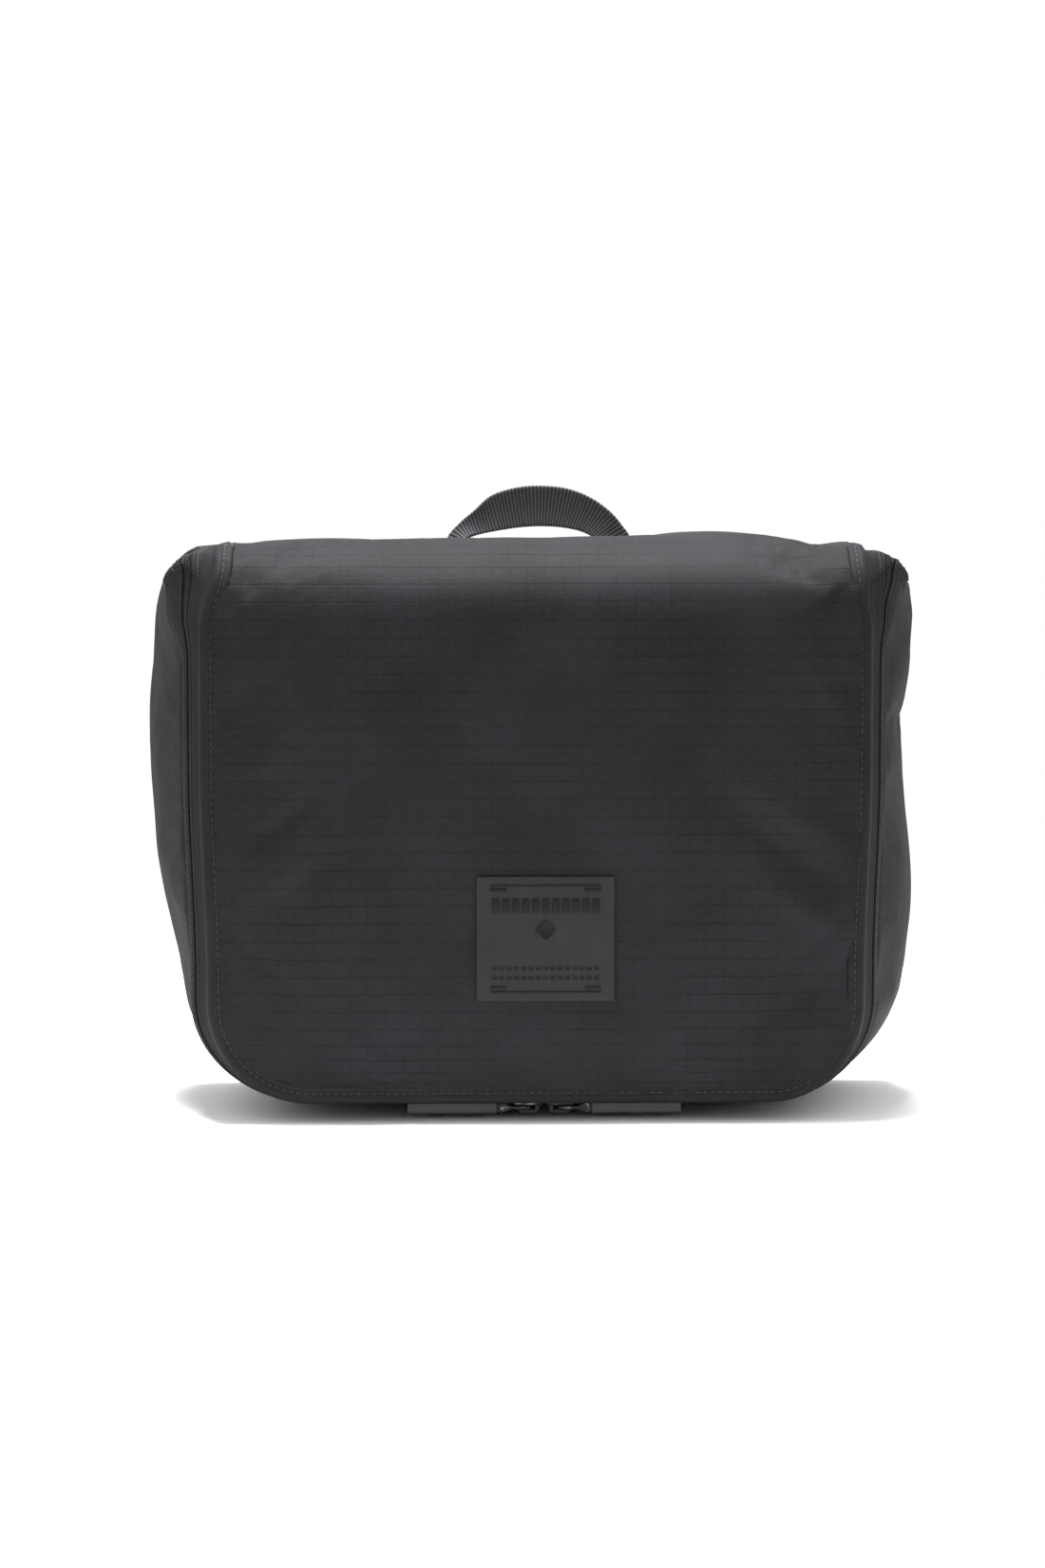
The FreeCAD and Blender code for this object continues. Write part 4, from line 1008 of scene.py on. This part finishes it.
# ---- zip end tabs ----
# A folded scrap of the gusset cloth covers each raw end of the zip at the back.
tabs = []
for side in (-1, 1):

    def tab_shape(u, v, side=side):
        run = side * (RUNS[5] - 9 * mm + 8.2 * mm * (u if side > 0 else 1 - u))
        depth = 20.5 * mm - 9.8 * mm * v
        lift = 1.25 * mm + 0.35 * mm * np.sin(np.pi * v) - 0.7 * mm * (2 * u - 1) ** 4
        return band(run, depth, lift), np.stack([u * 9 * mm, v * 10 * mm], -1)

    tab = laid_sheet(f"tab_{side}", tab_shape, 14, 14)
    thicken(tab, 0.9 * mm)
    tabs.append(tab)
end_tabs = join("zip_end_tab_cloth", tabs, gusset_cloth)
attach(end_tabs, "bag")
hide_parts("zip_end_tabs")

# ---- the linings ----
# Thin coated taffeta lines the body and the inside of the cover. It is cut a little large and sewn into the
# same seams as the outer cloth.


def taffeta(pen):
    """Thin crisp lining, with a slight crinkle, and painted lighter on the weave's crowns as a painted
    highlight.
    """
    uv, along, across = pattern_axes(pen)
    weave = threads(along, 0.4) * threads(across, 0.3)
    crinkle = pen.noise(uv, 70.0, 5.0)
    # Painted highlight on the weave's crowns.
    shade = (weave * 0.4 + crinkle * 0.8 - 0.15).between(0.0, 1.0)
    return {"Base Color": shade.blend((0.035, 0.035, 0.038), (0.085, 0.085, 0.09)),
            "Roughness": 0.52 - weave * 0.1, "height": (crinkle + weave * 0.12, 0.0008)}


lining_cloth = finish("lining_taffeta", (0.06, 0.06, 0.063), 0.5, taffeta, sheen_weight=0.15)
LINING_IN = 2.6 * mm


def lining_wall(u, v):
    run = (u * 2 - 1) * RUNS[3]
    front, rear, out = band(run, 12.8 * mm, -1.6 * mm), rear_seam(run, LINING_IN), outward(run)
    rear[:, 1] = 43.4 * mm
    height = ease(np.abs(run), RUNS[2] - 20 * mm, RUNS[2] + 50 * mm)
    near_top = ease(np.abs(run), RUNS[3] - 45 * mm, RUNS[3])
    swell = 0.2 * mm + 3.2 * mm * height - 3.2 * mm * near_top
    points = front + (rear - front) * v[:, None] + out * (swell * np.sin(np.pi * v))[:, None]
    crumple = dents(points, 26 * mm, 8) * 0.6 * mm * np.sin(np.pi * v)
    return points - out * np.abs(crumple)[:, None], np.stack([run, v * 88 * mm], -1)


body_lining = laid_sheet("body_lining_walls", lining_wall, 200, 30)
thicken(body_lining, LINING, material=lining_cloth)
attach(body_lining, "bag")
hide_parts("body_lining")


def lining_back(u, v):
    run = RUNS[1] + v * (RUNS[3] + 20 * mm - RUNS[1])
    right, left = back_outline(run, LINING_IN), back_outline(-run, LINING_IN)
    points = left + (right - left) * u[:, None]
    points[:, 1] = 43.5 * mm + dents(points, 40 * mm, 9) * 0.3 * mm
    return points, np.stack([points[:, 0], run], -1)


back_lining = laid_sheet("body_lining_back", lining_back, 70, 70)
thicken(back_lining, LINING, material=lining_cloth)
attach(back_lining, "bag")


def cover_inside(u, v):
    run = RUNS[1] + v * (RUNS[5] - 2 * mm - RUNS[1])
    depth = 4.5 * mm - 1.9 * mm * ease(run, RUNS[3], RUNS[4])
    left, right = path(-run, -2.2 * mm, depth), path(run, -2.2 * mm, depth)
    points = right + (left - right) * u[:, None]
    edge = np.minimum(u, 1 - u) * np.linalg.norm(right - left, axis=1)
    points[:, 2] -= 3.2 * mm * ease(run, RUNS[3], RUNS[4] + 10 * mm) * (1 - np.exp(-edge / (5 * mm)))
    return points, np.stack([points[:, 0], run], -1)


cover_lining = laid_sheet("cover_lining_cloth", cover_inside, 90, 130)
thicken(cover_lining, LINING, material=lining_cloth)
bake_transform(cover_lining)
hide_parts("cover_lining", "cover_top_lining")


def behind_edge(run, inset, lift):
    """Beside the cover's edge, on its inner side."""
    return path(run, -inset, 5.2 * mm + lift)


def turn_over(sheet):
    """Makes a sheet face the other way."""
    bpy.context.view_layer.objects.active = sheet
    bpy.ops.object.mode_set(mode="EDIT")
    bpy.ops.mesh.select_all(action="SELECT")
    bpy.ops.mesh.flip_normals()
    bpy.ops.object.mode_set(mode="OBJECT")


inner_binding = profile_sheet("cover_seam_binding", behind_edge,
                              [(0.4, -3.4), (0.2, -1.4), (0.9, 0.1), (2.6, 0.3), (5.2, 0.2), (7.4, 0.1),
                               (8.2, -0.7)], 520)
turn_over(inner_binding)
thicken(inner_binding, CLOTH, material=binding)
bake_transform(inner_binding)

# ---- mesh pockets and elastics ----
# A zipped mesh pocket fills the inside of the cover. In the body, a low mesh pocket with an elastic hem and an
# elastic band with loops are sewn to the back wall.


def net(pen):
    """Knitted mesh with round holes in staggered rows."""
    uv, across, up = pattern_axes(pen)
    first = threads(across, 2.0) * threads(up, 1.6)
    second = threads(across + 1.0, 2.0) * threads(up + 0.8, 1.6)
    hole = first.math("MAXIMUM", second).between(0.52, 0.68)
    yarn = pen.noise(uv, 1500.0, 1.0)
    return {"Base Color": yarn.blend((0.012, 0.012, 0.013), (0.05, 0.05, 0.054)), "Alpha": 1 - hole * 0.92,
            "height": (yarn - hole, 0.0002)}


mesh_cloth = finish("pocket_mesh", GREY, 0.6, net)
elastic = finish("ribbed_elastic", GREY, 0.7, ribbed((0.01, 0.01, 0.011), (0.05, 0.05, 0.053), 0.9))


def pocket(name, half, low, high, corner, y, belly, seed, faces):
    """A mesh panel with round lower corners that bellies out a little and is gathered into its top edge."""

    def shape(u, v):
        z = low + v * (high - low)
        short = corner - np.sqrt(np.maximum(corner ** 2 - np.maximum(corner - (z - low), 0) ** 2, 0))
        x = (u * 2 - 1) * (half - short)
        gather = np.sin(x / (2.6 * mm)) * 0.25 * mm * v ** 3
        swell = belly * np.sin(np.pi * u) ** 0.6 * np.sin(np.pi * v) ** 0.6 + gather
        soft = dents(np.stack([x, x * 0, z], -1), 30 * mm, seed) * belly * 0.3
        soft = soft * np.sin(np.pi * u) * np.sin(np.pi * v)
        points = np.stack([x, y - faces * (swell + soft), z], -1)
        return points, np.stack([x, z], -1)

    panel = laid_sheet(name, shape, 90, 60)
    if faces > 0:
        turn_over(panel)
    panel.data.materials.append(mesh_cloth)
    return panel


cover_pocket = pocket("cover_pocket_net", 98 * mm, 18 * mm, 151 * mm, 26 * mm, -42.8 * mm, 0.9 * mm, 10, -1)
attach(cover_pocket, "cover_front")
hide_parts("cover_pocket_mesh")
back_pocket = pocket("back_pocket_net", 100 * mm, 16 * mm, 105 * mm, 30 * mm, 42.4 * mm, 2.6 * mm, 11, 1)
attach(back_pocket, "bag")
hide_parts("back_pocket_mesh")

hem_line = np.linspace(-1, 1, 13)
low_edge = [(-100 * x, 41.6 - 2.2 * (1 - x * x), 104 - 1.2 * (1 - x * x)) for x in hem_line]
high_edge = [(-100 * x, 41.6 - 2.6 * (1 - x * x), 113.6 - 1.8 * (1 - x * x)) for x in hem_line]
hem = ribbon("back_pocket_elastic_hem", low_edge, high_edge, 1.3, elastic, 150, 6)
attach(hem, "bag")
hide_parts("back_pocket_elastic")

loops_low, loops_high = [], []
for index in range(41):
    bulge = math.sin(math.pi * ((index % 8) / 8)) ** 0.8 * 5.5
    x = 92 - 4.6 * index
    loops_low.append((x, 42.0 - bulge, 130.5))
    loops_high.append((x, 42.0 - bulge, 151.5))
loop_band = ribbon("elastic_loop_band_webbing", loops_low, loops_high, 1.3, elastic, 240, 8)
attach(loop_band, "bag")
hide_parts("elastic_loop_band")
for index in range(6):
    x = (92 - 36.8 * index) * mm
    bar = np.stack([np.full(40, x), np.full(40, 41.3 * mm), np.linspace(131, 151, 40) * mm], -1)
    tack = stitch_row(f"loop_band_tack_{index + 1}", "bag", bar, np.tile([0.0, -1.0, 0.0], (40, 1)), 1.5 * mm,
                      1.2 * mm, 0.5 * mm)

pocket_tape = ribbon("cover_pocket_zip_tape_cloth",
                     [(-98 + 16.333 * index, -42.75, 150.4) for index in range(13)],
                     [(-98 + 16.333 * index, -42.75, 163.8) for index in range(13)], 0.7, tape_twill, 120, 6)
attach(pocket_tape, "cover_front")
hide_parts("cover_pocket_zip_tape")
pocket_coil = fresh("cover_pocket_coil_turns", bpy.ops.mesh.primitive_torus_add, major_segments=8,
                    minor_segments=4, major_radius=1, minor_radius=0.3)
pocket_coil.scale = (0.55 * mm, 2.0 * mm, 0.7 * mm)
bpy.ops.object.transform_apply(location=False, rotation=False, scale=True)
turn = points_of(pocket_coil)[:, [0, 2, 1]]
turn_faces = [list(face.vertices)[::-1] for face in pocket_coil.data.polygons]
turns = [turn + np.array([x, -41.75 * mm, 157 * mm]) for x in np.arange(-93 * mm, 93 * mm, 1.45 * mm)]
fill_with_copies(pocket_coil, turns, turn_faces, nylon)
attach(pocket_coil, "cover_front")
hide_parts("cover_pocket_zip_coil")

# ---- hook tab, and the finishes of the hard parts ----
# A loop of webbing holds the hook's cross bar. The hook, its base and the pull bars are moulded plastic, and
# the sliders, links and rivets are coated zinc.
tab_line = [(-41.6, 39.6), (-41.6, 34), (-41.3, 30.8), (-38.6, 29.6), (-36, 29.6), (-33.9, 28.6), (-33.3, 27),
            (-33.9, 25.4), (-36, 24.4), (-38.6, 24.4), (-41.3, 23.2), (-41.6, 20), (-41.6, 14.4)]
hook_tab = ribbon("hook_tab_webbing", [(-8, y, z) for y, z in tab_line], [(8, y, z) for y, z in tab_line],
                  0.8, webbing, 90, 6)
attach(hook_tab, "cover_front")
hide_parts("hook_webbing_tab")


def coated(pen):
    """Black coated zinc, worn to bare metal in a few small spots along the edges."""
    coords = pen.own_place()
    peel = pen.noise(coords, 1100.0)
    wear = pen.noise(coords, 420.0, 4.0)
    edge = pen.node("NewGeometry", output=7).between(0.54, 0.62) * wear.between(0.52, 0.66)
    return {"Base Color": edge.blend((0.012, 0.012, 0.013), (0.3, 0.3, 0.31)), "Roughness": 0.3 + peel * 0.18,
            "height": (peel, 0.00004)}


def moulded(scale, low, high):
    """Plastic from a spark-finished mould."""

    def build(pen):
        coords = pen.own_place()
        grain = pen.noise(coords, scale, 3.0)
        scuff = pen.noise(coords, 160.0, 4.0).between(0.5, 0.8)
        shade = grain * 0.5 + scuff * 0.4
        return {"Base Color": shade.blend(low, high), "Roughness": 0.44 + grain * 0.16,
                "height": (grain, 0.00006)}

    return build


zinc = finish("coated_zinc", (0.012, 0.012, 0.013), 0.35, coated, metallic=0.6)
bar_finish = finish("bar_moulding", GREY, 0.5, moulded(1800.0, (0.028, 0.028, 0.029), (0.062, 0.062, 0.064)))
hook_finish = finish("hook_moulding", GREY, 0.4, moulded(1200.0, (0.015, 0.015, 0.016), (0.04, 0.04, 0.042)))
METAL_PARTS = ("zip_slider", "pull_link", "pull_rivet", "cover_pocket_slider", "cover_pocket_pull")
for words, material in ((METAL_PARTS, zinc), (("pull_bar",), bar_finish),
                        (("hook_swivel_base", "hanging_hook"), hook_finish)):
    for node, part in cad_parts.items():
        if node.startswith(words):
            part.data.materials.clear()
            part.data.materials.append(material)

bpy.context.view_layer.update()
